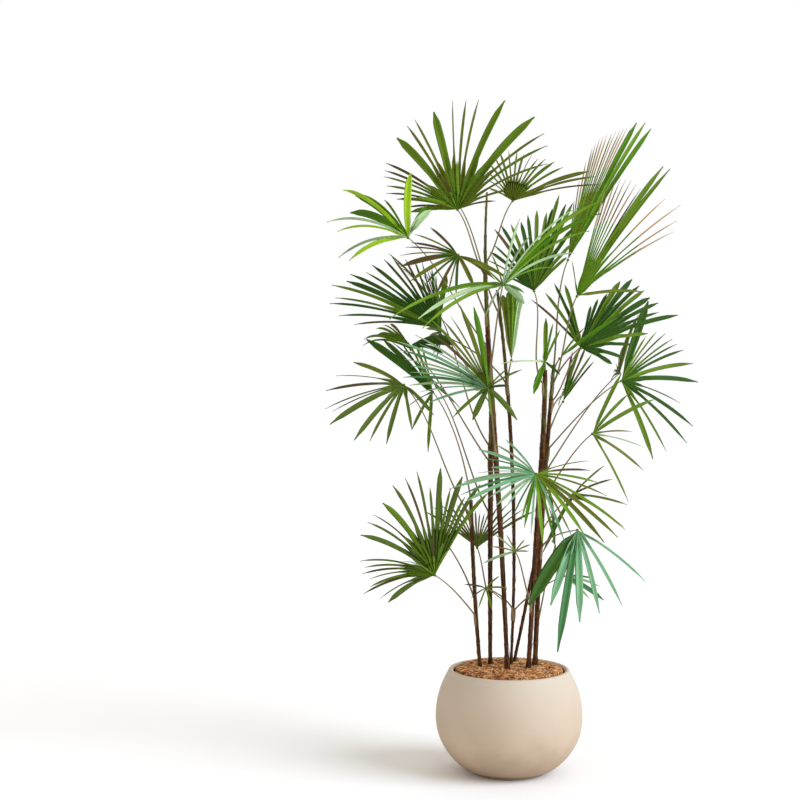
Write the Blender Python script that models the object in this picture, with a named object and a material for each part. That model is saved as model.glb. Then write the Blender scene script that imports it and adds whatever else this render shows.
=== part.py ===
"""A lady palm (Rhapis) in a round bowl pot.

Seven fibrous canes rise from the mulch in the pot and carry palmate fronds.
Metres, +Z up.  The origin is at the centre of the pot's underside.  The front
of the plant faces -Y, and +X is to the right of someone who looks at it.

Each frond is drawn in a front elevation: a hub, leaflets that spread from it at
a bearing (degrees, 0 is to the right, 90 is up) over a reach (centimetres), and
a lean that says how fast the blade runs back per metre to the right and per
metre upwards.  A turned frond has its elevation turned about the vertical.
"""
import math
import random

import bpy
import bmesh
from mathutils import Vector

# Pot: an elliptical bowl on a low foot
POT_HEIGHT = 0.240
POT_BELLY_RADIUS = 0.1700
POT_BELLY_HEIGHT = 0.128
POT_LOWER_SEMI_AXIS = 0.1484
POT_UPPER_SEMI_AXIS = 0.1890
POT_FOOT_RADIUS = 0.0855
POT_FOOT_HEIGHT = 0.008
POT_WALL = 0.0115
POT_FLOOR = 0.018
POT_STEPS = 32

# Mulch: fills the pot and is level under the canes
MULCH_TOP = 0.2400
MULCH_LEVEL_RADIUS = 0.088
MULCH_EDGE = 0.2280
INSIDE_HEIGHTS = (0.034, 0.070, 0.110, 0.150, 0.190, MULCH_EDGE)

GAP = 0.0004
UP = Vector((0.0, 0.0, 1.0))

# Canes: foot and tip in plan, height of the tip, bow, and radii at the foot, where the sheaths are
# thickest and at the tip.  The bow is greatest at half height, or higher up on a cane that bends late
CANE_SIDES = 8
CANE_FLARE = 1.45
THICKEST_SHARE = 0.6
CANE_STATIONS = (0.0, 0.035, 0.10, 0.20, 0.30, 0.40, 0.50, THICKEST_SHARE,
                 0.66, 0.72, 0.78, 0.84, 0.90, 0.95, 1.0)
CANES = {
    "cane_1": dict(foot=(-0.067, 0.000), tip=(-0.089, -0.004, 0.630),
        bow=(-0.003, 0.0), radii=(0.0050, 0.0052, 0.0050)),
    "cane_2": dict(foot=(-0.044, 0.030), tip=(-0.043, 0.030, 0.860),
        bow=(-0.001, 0.0), radii=(0.0052, 0.0067, 0.0056)),
    "cane_3": dict(foot=(-0.004, -0.022), tip=(-0.0535, -0.020, 1.336),
        bow=(-0.012, 0.0), late=3, radii=(0.0056, 0.0074, 0.0026)),
    "cane_4": dict(foot=(0.004, 0.030), tip=(-0.030, 0.034, 1.115),
        bow=(0.020, 0.0), radii=(0.0038, 0.0050, 0.0040)),
    "cane_5": dict(foot=(0.011, 0.062), tip=(0.066, 0.064, 0.520),
        bow=(0.001, 0.0), radii=(0.0044, 0.0046, 0.0042)),
    "cane_6": dict(foot=(0.0445, -0.012), tip=(0.080, -0.010, 0.931),
        bow=(0.004, 0.0), late=3, radii=(0.0058, 0.0074, 0.0058)),
    "cane_7": dict(foot=(0.060, 0.022), tip=(0.101, 0.022, 0.942),
        bow=(-0.005, 0.0), radii=(0.0064, 0.0062, 0.0046)),
}

# Leaflet: a folded blade of three sides.  Its stations are shares of the length beyond the
# valleys where it parts from its neighbours, each with a share of its width
LEAFLET_ARCH = 0.05
LONG_REACH = 0.15
LONG_STATIONS = ((0.12, 1.00), (0.48, 0.95), (0.80, 0.60))
SHORT_STATIONS = ((0.15, 1.00), (0.65, 0.80))
THINNEST_LEAFLET = 0.0026
THICKNESS_SHARE = 1.0 / 95.0
TWISTED_SHARE = 0.30
APEX_DEPTH = 0.0032
NARROW_PALM = 0.12
WIDE_PALM = 0.34

# Petiole: a four-sided stalk
PETIOLE_STATIONS = (0.10, 0.32, 0.58, 0.82, 1.0)
PETIOLE_RADII = (0.0030, 0.0019)

# Fronds: cane and height of the petiole's foot (None: on the cane's tip), hub,
# lean, and fans of (first bearing, last bearing, width in mm, reaches in cm)
FRONDS = {
    "frond_top_left": dict(
        cane="cane_3", height=1.150, hub=(-0.122, 0.040, 1.300), lean=(-0.30, 0.20), leaf="mid", seed=1,
        fans=((186, 26, 14, (11, 14, 18, 20, 22, 23, 24, 24, 26, 26.5, 27, 27.5, 26, 23)),)),
    "frond_top_right": dict(
        cane="cane_3", height=1.180, hub=(0.005, -0.060, 1.313), lean=(0.20, -1.50), leaf="mid", seed=2,
        fans=((158, 8, 13, (6, 8, 10, 11, 10, 9, 9, 10, 13, 16, 19)),)),
    "frond_young_left": dict(
        cane="cane_3", height=0.990, hub=(-0.232, -0.040, 1.232), lean=(-0.50, 0.50), leaf="bright", seed=3,
        fans=((54, 198, 15, (8, 12, 16, 13, 17, 20.5, 21, 16)),)),
    "frond_dark_left": dict(
        cane="cane_3", height=1.060, hub=(-0.116, -0.120, 1.190), lean=(-0.10, 0.45), leaf="dark", seed=4,
        fans=((136, 333, 12, (9, 11, 13, 13, 12, 10, 10, 9, 8, 9, 11)),)),
    "frond_large_left": dict(
        cane="cane_3", height=0.860, hub=(-0.163, -0.060, 1.027), lean=(-0.50, 0.50), leaf="dark", seed=5,
        fans=((92, 178, 15, (12, 15, 16, 17, 18, 20, 22, 25, 26, 28, 25, 20)),)),
    "frond_centre_bright": dict(
        cane="cane_3", height=0.930, hub=(-0.016, -0.200, 1.122), lean=(0.10, -0.25), leaf="bright", seed=6,
        fans=((208, 188, 15, (20, 26, 18)), (150, 105, 15, (9, 7)), (40, 22, 15, (28, 24, 10)),
              (-39, -39, 15, (6,)))),
    "frond_spear_centre": dict(
        cane="cane_4", height=0.900, hub=(0.003, -0.035, 0.954), lean=(0.00, 0.20), leaf="dark", seed=7,
        fans=((97, 84, 22, (15, 16, 16)),)),
    "frond_centre_dark": dict(
        cane="cane_6", height=0.900, hub=(0.054, -0.028, 1.111), lean=(0.20, 0.40), leaf="dark", seed=8,
        fans=((146, 48, 15, (10, 13, 17, 16, 16, 18, 20, 22, 22, 16, 11)),)),
    "frond_tall_right": dict(
        cane="cane_7", height=None, hub=(0.133, 0.050, 1.184), lean=(0.20, 0.10), leaf="bright", seed=9,
        fans=((85, 68, 8, (14, 20, 27, 32, 34)), (63, 58, 17, (36, 37, 36.5)))),
    "frond_upper_right": dict(
        cane="cane_7", height=0.900, hub=(0.150, -0.060, 1.099), lean=(0.20, 0.10), leaf="bright", seed=10,
        fans=((106, 106, 12, (8,)), (75, 60, 8, (25, 28, 29, 29)), (56.3, 53.5, 20, (35.6, 36.1)),
              (41, 34, 7, (31.5, 28.5, 26)), (4, 4, 9, (15,)))),
    "frond_right": dict(
        cane="cane_7", height=0.860, hub=(0.162, 0.000, 0.981), lean=(0.25, 0.30), leaf="dark", seed=11,
        fans=((136, 104, 15, (16, 15, 16, 15)), (74, 12, 15, (11, 15, 19, 20, 20, 21, 24, 16)),
              (0, -26, 16, (12, 10, 8)))),
    "frond_narrow_right": dict(
        cane="cane_7", height=0.790, hub=(0.124, 0.080, 0.854), lean=(0.20, 0.30), leaf="mid", seed=12,
        fans=((80, 52, 15, (12, 13, 13, 12)),)),
    "frond_far_right": dict(
        cane="cane_7", height=0.750, hub=(0.257, 0.050, 0.904), lean=(0.50, 0.50), leaf="mid", seed=13,
        fans=((69, -68, 11, (20, 13, 16, 16, 17, 18, 19, 16, 15, 21, 20, 19)),)),
    "frond_lower_right": dict(
        cane="cane_7", height=0.640, hub=(0.184, -0.100, 0.791), lean=(0.30, 0.35), leaf="mid", seed=14,
        fans=((64, -62, 15, (15, 12, 16, 10, 12, 14, 17)),)),
    "frond_low_far_left": dict(
        cane="cane_1", height=0.600, hub=(-0.238, -0.100, 0.900), lean=(-0.20, 0.85), leaf="mid", seed=15,
        fans=((158, 318, 15, (13, 17, 19, 18, 19, 15, 14, 13, 11, 10, 9)),)),
    "frond_edge_left": dict(
        cane="cane_1", height=None, hub=(-0.178, 0.020, 0.879), lean=(-0.20, 0.10), leaf="mid", seed=16,
        fans=((266, 211, 15, (14, 10, 7)), (148, 104, 15, (21, 17, 13, 12, 11)))),
    "frond_hidden_left": dict(
        cane="cane_2", height=0.720, hub=(-0.236, 0.130, 0.975), lean=(-0.50, 0.30), leaf="olive", seed=17,
        fans=((172, 130, 15, (12, 8, 9, 10)),)),
    "frond_centre_blue": dict(
        cane="cane_3", height=0.760, hub=(-0.048, -0.190, 0.897), lean=(-0.30, -0.45), leaf="blue", seed=18,
        fans=((243, 196, 15, (8, 10, 11)), (178, 102, 15, (16, 17, 16, 19, 22, 18, 20, 17)),
              (45, 6, 14, (6, 8, 5)), (-48, -48, 15, (9.5,)))),
    "frond_spear_right": dict(
        cane="cane_6", height=None, hub=(0.079, -0.030, 0.950), lean=(0.10, 0.30), leaf="olive", seed=19,
        fans=((245, 245, 15, (7,)), (182, 182, 15, (10,)), (89, 65, 15, (10, 8)))),
    "frond_sprig_right": dict(
        cane="cane_7", height=0.925, hub=(0.112, -0.045, 0.958), lean=(0.10, 0.10), leaf="bright", seed=20,
        fans=((50, 34, 15, (9, 16)),)),
    "frond_umbrella": dict(
        cane="cane_6", height=0.620, hub=(0.058, -0.160, 0.706), lean=(0.00, 0.80), leaf="olive", seed=21,
        fans=((145, 373, 13, (12, 14, 11, 18, 18, 12, 12, 10, 11, 13, 12, 15, 16, 20, 22, 16, 13, 12)),)),
    "frond_back_right_low": dict(
        cane="cane_5", height=None, hub=(0.148, 0.080, 0.637), lean=(0.20, 0.20), leaf="olive", seed=22,
        fans=((40, -33, 15, (10, 10, 12, 13, 15)), (-118, -118, 15, (15,)))),
    "frond_drooping": dict(
        cane="cane_7", height=0.520, hub=(0.152, -0.100, 0.575), lean=(0.20, 0.90), leaf="blue", seed=23,
        fans=((231, 231, 26, (18,)), (246, 325, 15, (16, 25, 18, 17, 18, 18)))),
    "frond_small_low": dict(
        cane="cane_4", height=0.372, hub=(0.127, 0.050, 0.449), lean=(0.40, 0.50), leaf="mid", seed=24,
        fans=((352, 318, 15, (7, 9, 11, 8)),)),
    "frond_low_left": dict(
        cane="cane_1", height=0.366, hub=(-0.169, -0.070, 0.465), lean=(0.00, -0.40), leaf="olive", seed=25,
        fans=((210, 63, 14, (12, 16, 16, 17, 18, 19, 20, 20, 20, 21, 22, 23, 24, 23, 23)),)),
    "frond_low_centre": dict(
        cane="cane_2", height=0.400, hub=(-0.076, 0.080, 0.509), lean=(-0.10, 0.40), leaf="dark", seed=26,
        fans=((145, 34, 15, (15, 13, 11, 10, 8, 8, 11, 13, 16)),)),
    "frond_sprout_left": dict(
        cane="cane_4", height=0.375, hub=(-0.053, -0.060, 0.436), lean=(-0.10, 0.50), leaf="mid", seed=27,
        fans=((40, -186, 15, (4, 5, 5, 5, 4, 5)),)),
    "frond_sprout_middle": dict(
        cane="cane_6", height=0.400, hub=(0.013, -0.070, 0.521), lean=(0.00, 0.40), leaf="mid", seed=28,
        fans=((201, 118, 14, (8, 6, 5, 4)), (52, 0, 14, (3.5, 3.5, 3)))),
    "frond_back_1": dict(
        cane="cane_4", height=1.060, hub=(-0.122, 0.150, 1.316),
        lean=(0.00, -0.40), turn=92, leaf="dark", seed=31,
        fans=((104, 0, 15, (15, 17, 17, 17, 16, 15, 14)),)),
    "frond_back_2": dict(
        cane="cane_7", height=0.900, hub=(0.199, 0.200, 1.002),
        lean=(0.00, -0.45), turn=90, leaf="mid", seed=32,
        fans=((72, -34, 15, (12, 13, 14, 14, 14, 13, 12)),)),
    "frond_back_3": dict(
        cane="cane_4", height=0.900, hub=(-0.165, 0.190, 1.010),
        lean=(0.10, 0.20), turn=100, leaf="dark", seed=33,
        fans=((110, -30, 15, (15, 16, 16, 16, 16, 16, 15, 14, 13)),)),
    "frond_back_4": dict(
        cane="cane_7", height=0.820, hub=(0.134, 0.190, 0.872),
        lean=(0.00, -0.35), turn=90, leaf="dark", seed=34,
        fans=((92, -18, 15, (12, 13, 14, 15, 15, 14, 13)),)),
    "frond_back_5": dict(
        cane="cane_7", height=0.700, hub=(0.262, 0.180, 0.918),
        lean=(0.00, -0.36), turn=92, leaf="olive", seed=35,
        fans=((72, -10, 15, (15, 16, 16, 16, 15, 14)),)),
    "frond_back_6": dict(
        cane="cane_5", height=0.470, hub=(0.080, 0.185, 0.715),
        lean=(0.00, -0.05), turn=90, leaf="mid", seed=36,
        fans=((88, -28, 15, (14, 16, 16, 16, 16, 16, 15)),)),
    "frond_back_7": dict(
        cane="cane_1", height=0.400, hub=(-0.164, 0.190, 0.520),
        lean=(0.00, 0.05), turn=94, leaf="dark", seed=37,
        fans=((108, -25, 15, (12, 13, 14, 15, 15, 15, 14, 13)),)),
    "frond_side_left_high": dict(
        cane="cane_2", height=0.755, hub=(-0.190, 0.120, 1.095),
        lean=(0.00, 0.90), turn=92, leaf="dark", seed=41,
        fans=((66, 6, 15, (12, 13, 13, 13, 12)),)),
    "frond_side_left_low": dict(
        cane="cane_2", height=0.600, hub=(-0.176, 0.160, 0.884),
        lean=(0.00, 1.00), turn=92, leaf="mid", seed=42,
        fans=((66, -30, 15, (12, 13, 13, 13, 12, 12)),)),
    "frond_side_right": dict(
        cane="cane_7", height=0.330, hub=(0.110, 0.190, 0.500),
        lean=(0.00, 0.10), turn=92, leaf="dark", seed=45,
        fans=((110, -60, 15, (12, 14, 15, 16, 16, 16, 15, 14, 12)),)),
}

LEAF_COLOURS = {
    "mid": (0.07, 0.16, 0.03, 1.0),
    "dark": (0.02, 0.07, 0.015, 1.0),
    "bright": (0.22, 0.42, 0.03, 1.0),
    "blue": (0.10, 0.24, 0.13, 1.0),
    "olive": (0.16, 0.20, 0.05, 1.0),
}


def material(name, colour, roughness):
    made = bpy.data.materials.new(name)
    made.use_nodes = True
    shader = made.node_tree.nodes["Principled BSDF"]
    shader.inputs["Base Color"].default_value = colour
    shader.inputs["Roughness"].default_value = roughness
    shader.inputs["Metallic"].default_value = 0.0
    made.diffuse_color = colour
    return made


def add_object(name, bm, slot, location=(0.0, 0.0, 0.0)):
    mesh = bpy.data.meshes.new(name)
    bm.to_mesh(mesh)
    bm.free()
    mesh.materials.append(slot)
    made = bpy.data.objects.new(name, mesh)
    made.location = location
    bpy.context.scene.collection.objects.link(made)
    return made


def lathe(name, profile, slot):
    """Spin a profile of (radius, height) about the vertical; both ends lie on the axis."""
    bm = bmesh.new()
    verts = [bm.verts.new((radius, 0.0, height)) for radius, height in profile]
    edges = [bm.edges.new(pair) for pair in zip(verts, verts[1:])]
    bmesh.ops.spin(bm, geom=verts + edges, axis=UP, cent=(0, 0, 0), steps=POT_STEPS, angle=math.tau)
    bmesh.ops.remove_doubles(bm, verts=bm.verts, dist=0.00001)
    bmesh.ops.recalc_face_normals(bm, faces=bm.faces)
    made = add_object(name, bm, slot)
    made.data.shade_smooth()
    made.data.set_sharp_from_angle(angle=math.radians(35))
    return made


def bowl_radius(height):
    """Radius of the pot's outside at a height: two half ellipses that meet at the belly."""
    rise = height - POT_BELLY_HEIGHT
    semi = POT_UPPER_SEMI_AXIS if rise > 0 else POT_LOWER_SEMI_AXIS
    return POT_BELLY_RADIUS * math.sqrt(1.0 - (rise / semi) ** 2)


def span(first, last, count):
    return [first + (last - first) * i / (count - 1) for i in range(count)]


def make_pot(slot):
    """Foot, bowl outside, rounded rim, and an inside that follows the outside one wall in."""
    outside = [(0.0, 0.0), (POT_FOOT_RADIUS, 0.0), (POT_FOOT_RADIUS, POT_FOOT_HEIGHT)]
    for height in span(POT_FOOT_HEIGHT + 0.002, POT_HEIGHT - 0.003, 9):
        outside.append((bowl_radius(height), height))
    rim = bowl_radius(POT_HEIGHT)
    outside.append((rim - 0.0025, POT_HEIGHT))
    outside.append((rim - POT_WALL + 0.0025, POT_HEIGHT))
    inside = [(rim - POT_WALL, POT_HEIGHT - 0.003)]
    inside += [(bowl_radius(h) - POT_WALL, h) for h in reversed(INSIDE_HEIGHTS)]
    inside.append((POT_FOOT_RADIUS - 0.010, POT_FLOOR))
    inside.append((0.0, POT_FLOOR))
    return lathe("pot", outside + inside, slot)


def make_mulch(slot):
    """A plug that fills the bowl one gap inside its wall, with a level top that falls to the rim."""
    inside = [(bowl_radius(h) - POT_WALL - 0.0006, h) for h in INSIDE_HEIGHTS]
    profile = [(0.0, POT_FLOOR + 0.0005), (POT_FOOT_RADIUS - 0.012, POT_FLOOR + 0.0005)] + inside
    profile += [(MULCH_LEVEL_RADIUS + 0.018, MULCH_TOP - 0.004), (MULCH_LEVEL_RADIUS, MULCH_TOP)]
    profile += [(0.0, MULCH_TOP)]
    return lathe("mulch", profile, slot)


def cane_point(cane, share):
    foot_x, foot_y = cane["foot"]
    tip_x, tip_y, tip_z = cane["tip"]
    bow_x, bow_y = cane["bow"]
    late = cane.get("late", 1)
    bend = (1 + late) ** (1 + late) / late ** late * share ** late * (1.0 - share)
    foot_z = MULCH_TOP + GAP
    return Vector((
        foot_x + (tip_x - foot_x) * share + bow_x * bend,
        foot_y + (tip_y - foot_y) * share + bow_y * bend,
        foot_z + (tip_z - foot_z) * share))


def cane_radius(cane, share):
    root, swell, tip = cane["radii"]
    flare = 1.0 + (CANE_FLARE - 1.0) * max(0.0, 1.0 - share / 0.035)
    if share < THICKEST_SHARE:
        return (root + (swell - root) * share / THICKEST_SHARE) * flare
    return swell + (tip - swell) * (share - THICKEST_SHARE) / (1.0 - THICKEST_SHARE)


def loft(bm, rings):
    """Skin closed rings of equal count and cap both ends."""
    count = len(rings[0])
    for lower, upper in zip(rings, rings[1:]):
        for i in range(count):
            j = (i + 1) % count
            bm.faces.new((lower[i], lower[j], upper[j], upper[i]))
    bm.faces.new(list(reversed(rings[0])))
    bm.faces.new(rings[-1])


def make_cane(name, slot):
    cane = CANES[name]
    bm = bmesh.new()
    rings = []
    for share in CANE_STATIONS:
        centre = cane_point(cane, share)
        radius = cane_radius(cane, share)
        ring = []
        for i in range(CANE_SIDES):
            angle = math.tau * i / CANE_SIDES
            offset = Vector((math.cos(angle), math.sin(angle), 0.0)) * radius
            ring.append(bm.verts.new(centre + offset))
        rings.append(ring)
    loft(bm, rings)
    bmesh.ops.recalc_face_normals(bm, faces=bm.faces)
    made = add_object(name, bm, slot)
    made.data.shade_smooth()
    made.data.set_sharp_from_angle(angle=math.radians(50))
    return made


def petiole_path(frond):
    """Four Bezier points from the cane to the hub, the way outwards, and the foot's long axis."""
    cane = CANES[frond["cane"]]
    hub = Vector(frond["hub"])
    foot_z = MULCH_TOP + GAP
    top = cane["tip"][2]
    on_tip = frond["height"] is None
    share = 1.0 if on_tip else (frond["height"] - foot_z) / (top - foot_z)
    axis = cane_point(cane, share)
    outward = Vector((hub.x - axis.x, hub.y - axis.y, 0.0)).normalized()
    if on_tip:
        foot = axis + UP * GAP
        start = (UP + outward * 0.15).normalized()
    else:
        foot = axis + outward * (cane_radius(cane, share) + GAP)
        start = (UP * 0.75 + outward * 0.66).normalized()
    way = hub - foot
    arrive = (way.normalized() + outward * 0.35 - UP * 0.10).normalized()
    stretch = way.length
    points = (foot, foot + start * stretch * 0.30, hub - arrive * stretch * 0.30, hub)
    grain = (cane_point(cane, share) - cane_point(cane, share - 0.02)).normalized()
    return points, outward, outward if on_tip else grain * 1.3


def bezier(points, share):
    rest = 1.0 - share
    weights = (rest ** 3, 3 * rest ** 2 * share, 3 * rest * share ** 2, share ** 3)
    return sum((point * weight for point, weight in zip(points, weights)), Vector())


def add_petiole(bm, frond):
    """A stalk whose foot lies flat on the cane and whose end is sunk in the hub."""
    points, outward, lift = petiole_path(frond)
    side = UP.cross(outward)
    thick, thin = PETIOLE_RADII
    foot = points[0]
    rings = [[foot + side * thick, foot + lift * thick, foot - side * thick, foot - lift * thick]]
    for share in PETIOLE_STATIONS:
        centre = bezier(points, share)
        tangent = (bezier(points, min(1.0, share + 0.02)) - bezier(points, share - 0.02)).normalized()
        across = side.cross(tangent)
        if (rings[-1][1] - rings[-1][3]).dot(across) < 0:
            across.negate()
        if share == 1.0:
            centre = centre + tangent * 0.003
        radius = thick + (thin - thick) * share
        rings.append([centre + side * radius, centre + across * radius,
                      centre - side * radius, centre - across * radius])
    origin = Vector(frond["hub"])
    loft(bm, [[bm.verts.new(point - origin) for point in ring] for ring in rings])


def frame_of(frond):
    """Right, away and up of the frond's elevation, and the blade's facing direction."""
    turn = math.radians(frond.get("turn", 0.0))
    right = Vector((math.cos(turn), math.sin(turn), 0.0))
    away = Vector((-math.sin(turn), math.cos(turn), 0.0))
    lean_x, lean_z = frond["lean"]
    facing = (right * lean_x - away + UP * lean_z).normalized()
    return right, away, facing if facing.z >= 0.0 else -facing


def leaflets_of(frond):
    """The blade's leaflets in order round the hub: span, width and roll, by the frond's seed."""
    dice = random.Random(frond["seed"])
    right, away, _ = frame_of(frond)
    lean_x, lean_z = frond["lean"]
    made = []
    for first, last, broad, reaches in frond["fans"]:
        step = (last - first) / max(1, len(reaches) - 1)
        for i, reach in enumerate(reaches):
            bearing = math.radians(first + step * i + dice.uniform(-0.16, 0.16) * step)
            across = math.cos(bearing)
            rise = math.sin(bearing)
            way = right * across + UP * rise + away * (lean_x * across + lean_z * rise)
            width = broad * 0.001 * dice.uniform(0.80, 1.20) * min(1.0, 0.45 + reach / 30.0)
            roll = dice.uniform(-0.45, 0.45)
            if dice.random() < TWISTED_SHARE:
                roll = math.copysign(1.05, roll)
            made.append((way * reach * 0.01, width, roll))
    return made


def lift_of(way, facing):
    """How far a leaflet arches up and outwards at the middle of its reach."""
    return (UP * 0.7 + facing * 0.5).normalized() * way.length * LEAFLET_ARCH


def along(way, lift, share):
    return way * share + lift * 4.0 * share * (1.0 - share)


def valleys_of(fan, facing):
    """Where neighbouring leaflets part, and half a leaflet to the side at both ends of the fan."""
    radii = []
    for (way, width, _), (next_way, next_width, _) in zip(fan, fan[1:]):
        spread = way.angle(next_way)
        shorter = min(way.length, next_way.length)
        radius = 0.25 * (width + next_width) / math.sin(spread * 0.5)
        radii.append(min(max(radius, NARROW_PALM * shorter), WIDE_PALM * shorter))
    radii = [radii[0] if radii else fan[0][0].length * 0.25] + radii
    radii.append(radii[-1])
    points = []
    for i, radius in enumerate(radii):
        sides = [fan[j][0] for j in (i - 1, i) if 0 <= j < len(fan)]
        points.append(sum((along(way, lift_of(way, facing), radius / way.length) for way in sides),
                          Vector()) / len(sides))
    for end, edge, inner in ((0, 0, 1), (len(fan) - 1, len(fan), len(fan) - 1)):
        way, width, _ = fan[end]
        flat = way.cross(facing).normalized()
        if len(fan) == 1:
            outside = flat if edge else -flat
        else:
            outside = flat if (points[edge] - points[inner]).dot(flat) > 0 else -flat
        points[edge] = points[edge] + outside * width * 0.40
    return radii, points


def add_blade(bm, fan, facing):
    """A closed folded blade: a palm that is whole up to the valleys, and leaflets beyond them."""
    radii, valleys = valleys_of(fan, facing)
    top = bm.verts.new(facing * APEX_DEPTH * 0.5)
    bottom = bm.verts.new(-facing * APEX_DEPTH * 0.5)
    seams = [bm.verts.new(point) for point in valleys]
    for i, (way, width, roll) in enumerate(fan):
        reach = way.length
        lift = lift_of(way, facing)
        thick = max(THINNEST_LEAFLET, reach * THICKNESS_SHARE)
        near = [way.angle(fan[j][0]) for j in (i - 1, i + 1) if 0 <= j < len(fan)]
        spread = min(near) if near else 1.0
        left, right = seams[i], seams[i + 1]
        across_seams = valleys[i + 1] - valleys[i]
        inner = 0.5 * (radii[i] + radii[i + 1]) / reach
        outer = max(radii[i], radii[i + 1]) / reach
        flat = way.cross(facing).normalized()
        flat = flat if flat.dot(across_seams) > 0 else -flat
        keel = bm.verts.new(along(way, lift, inner) - facing * thick)
        bm.faces.new((top, left, right))
        bm.faces.new((bottom, keel, left))
        bm.faces.new((bottom, right, keel))
        section = (left, right, keel)
        stations = LONG_STATIONS if reach > LONG_REACH else SHORT_STATIONS
        for beyond, wide in stations:
            share = outer + (1.0 - outer) * beyond
            tangent = (way + lift * 4.0 * (1.0 - 2.0 * share)).normalized()
            level = (flat - tangent * flat.dot(tangent)).normalized()
            under = level.cross(tangent)
            under = under if under.dot(facing) < 0 else -under
            across = level * math.cos(roll) + under * math.sin(roll)
            down = under * math.cos(roll) - level * math.sin(roll)
            half = 0.5 * min(width * wide, 0.85 * spread * share * reach)
            centre = along(way, lift, share)
            outer_section = (bm.verts.new(centre - across * half), bm.verts.new(centre + across * half),
                             bm.verts.new(centre + down * thick))
            for j in range(3):
                k = (j + 1) % 3
                bm.faces.new((section[j], section[k], outer_section[k], outer_section[j]))
            section = outer_section
        tip = bm.verts.new(way)
        for j in range(3):
            bm.faces.new((section[j], section[(j + 1) % 3], tip))
    bm.faces.new((top, bottom, seams[0]))
    bm.faces.new((top, seams[-1], bottom))
    bmesh.ops.triangulate(bm, faces=bm.faces)
    bmesh.ops.recalc_face_normals(bm, faces=bm.faces)


def join(target, other):
    """Join two solids by a Boolean union into one plain mesh, and remove the second."""
    joint = target.modifiers.new("join", "BOOLEAN")
    joint.operation = "UNION"
    joint.object = other
    joint.solver = "EXACT"
    scene = bpy.context.evaluated_depsgraph_get()
    mesh = bpy.data.meshes.new_from_object(target.evaluated_get(scene))
    target.modifiers.clear()
    old = target.data
    target.data = mesh
    bpy.data.meshes.remove(old)
    mesh.name = target.name
    bpy.data.objects.remove(other)


def make_frond(name, slot):
    frond = FRONDS[name]
    facing = frame_of(frond)[2]
    bm = bmesh.new()
    add_petiole(bm, frond)
    bmesh.ops.recalc_face_normals(bm, faces=bm.faces)
    made = add_object(name, bm, slot, frond["hub"])
    bm = bmesh.new()
    add_blade(bm, leaflets_of(frond), facing)
    join(made, add_object(name + "_blade", bm, slot, frond["hub"]))
    return made


def main():
    for old in list(bpy.data.objects):
        bpy.data.objects.remove(old)
    make_pot(material("pot_stoneware", (0.66, 0.56, 0.43, 1.0), 0.75))
    make_mulch(material("mulch_fibre", (0.42, 0.19, 0.07, 1.0), 0.95))
    bark = material("cane_fibre", (0.10, 0.06, 0.03, 1.0), 0.9)
    for name in CANES:
        make_cane(name, bark)
    leaves = {leaf: material("leaf_" + leaf, colour, 0.5) for leaf, colour in LEAF_COLOURS.items()}
    for name, frond in FRONDS.items():
        make_frond(name, leaves[frond["leaf"]])


main()
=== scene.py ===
"""A lady palm in a round bowl pot, dressed for a soft studio.

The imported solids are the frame. Each solid is replaced by a finished piece that follows the same rule with
more detail: a turned pot, a bed of coir and bark, canes wrapped in fibrous sheaths, and fronds whose pleated
leaflets are finer and more than those of the solids.

Metres, +Z up. The origin is at the centre of the pot's underside, the front faces -Y and +X is to the right.
A frond is given as a hub, a lean and fans of leaflets (bearings in degrees, kinds, and reaches in
centimetres) in its own front elevation.
"""
import math
import random

import bpy
import numpy as np
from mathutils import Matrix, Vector


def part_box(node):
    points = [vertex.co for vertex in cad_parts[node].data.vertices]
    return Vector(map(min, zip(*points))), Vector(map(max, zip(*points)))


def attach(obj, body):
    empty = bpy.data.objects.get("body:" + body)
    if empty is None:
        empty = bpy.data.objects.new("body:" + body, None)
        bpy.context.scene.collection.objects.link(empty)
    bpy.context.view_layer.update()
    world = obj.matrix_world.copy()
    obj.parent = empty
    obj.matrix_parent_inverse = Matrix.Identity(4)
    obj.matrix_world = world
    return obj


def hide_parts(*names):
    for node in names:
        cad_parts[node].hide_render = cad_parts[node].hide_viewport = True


bl_info = {
    "name": "Potted Lady Palm",
    "version": (1, 0, 0),
    "blender": (4, 5, 0),
    "location": "3D View > Sidebar > Lady Palm",
    "description": "Dresses the solids of a potted lady palm with finished pieces and a studio",
    "category": "Object",
}

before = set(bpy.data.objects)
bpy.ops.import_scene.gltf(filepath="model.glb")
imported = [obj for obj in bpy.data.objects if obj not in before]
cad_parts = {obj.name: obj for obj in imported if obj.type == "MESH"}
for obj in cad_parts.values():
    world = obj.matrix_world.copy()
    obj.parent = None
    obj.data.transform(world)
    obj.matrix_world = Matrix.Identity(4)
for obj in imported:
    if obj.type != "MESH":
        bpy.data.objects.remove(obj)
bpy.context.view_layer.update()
POT_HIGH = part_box("pot")[1]
MULCH_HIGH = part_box("mulch")[1]

UP = np.array((0.0, 0.0, 1.0))
TAU = math.tau
BODY = "root"

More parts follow.
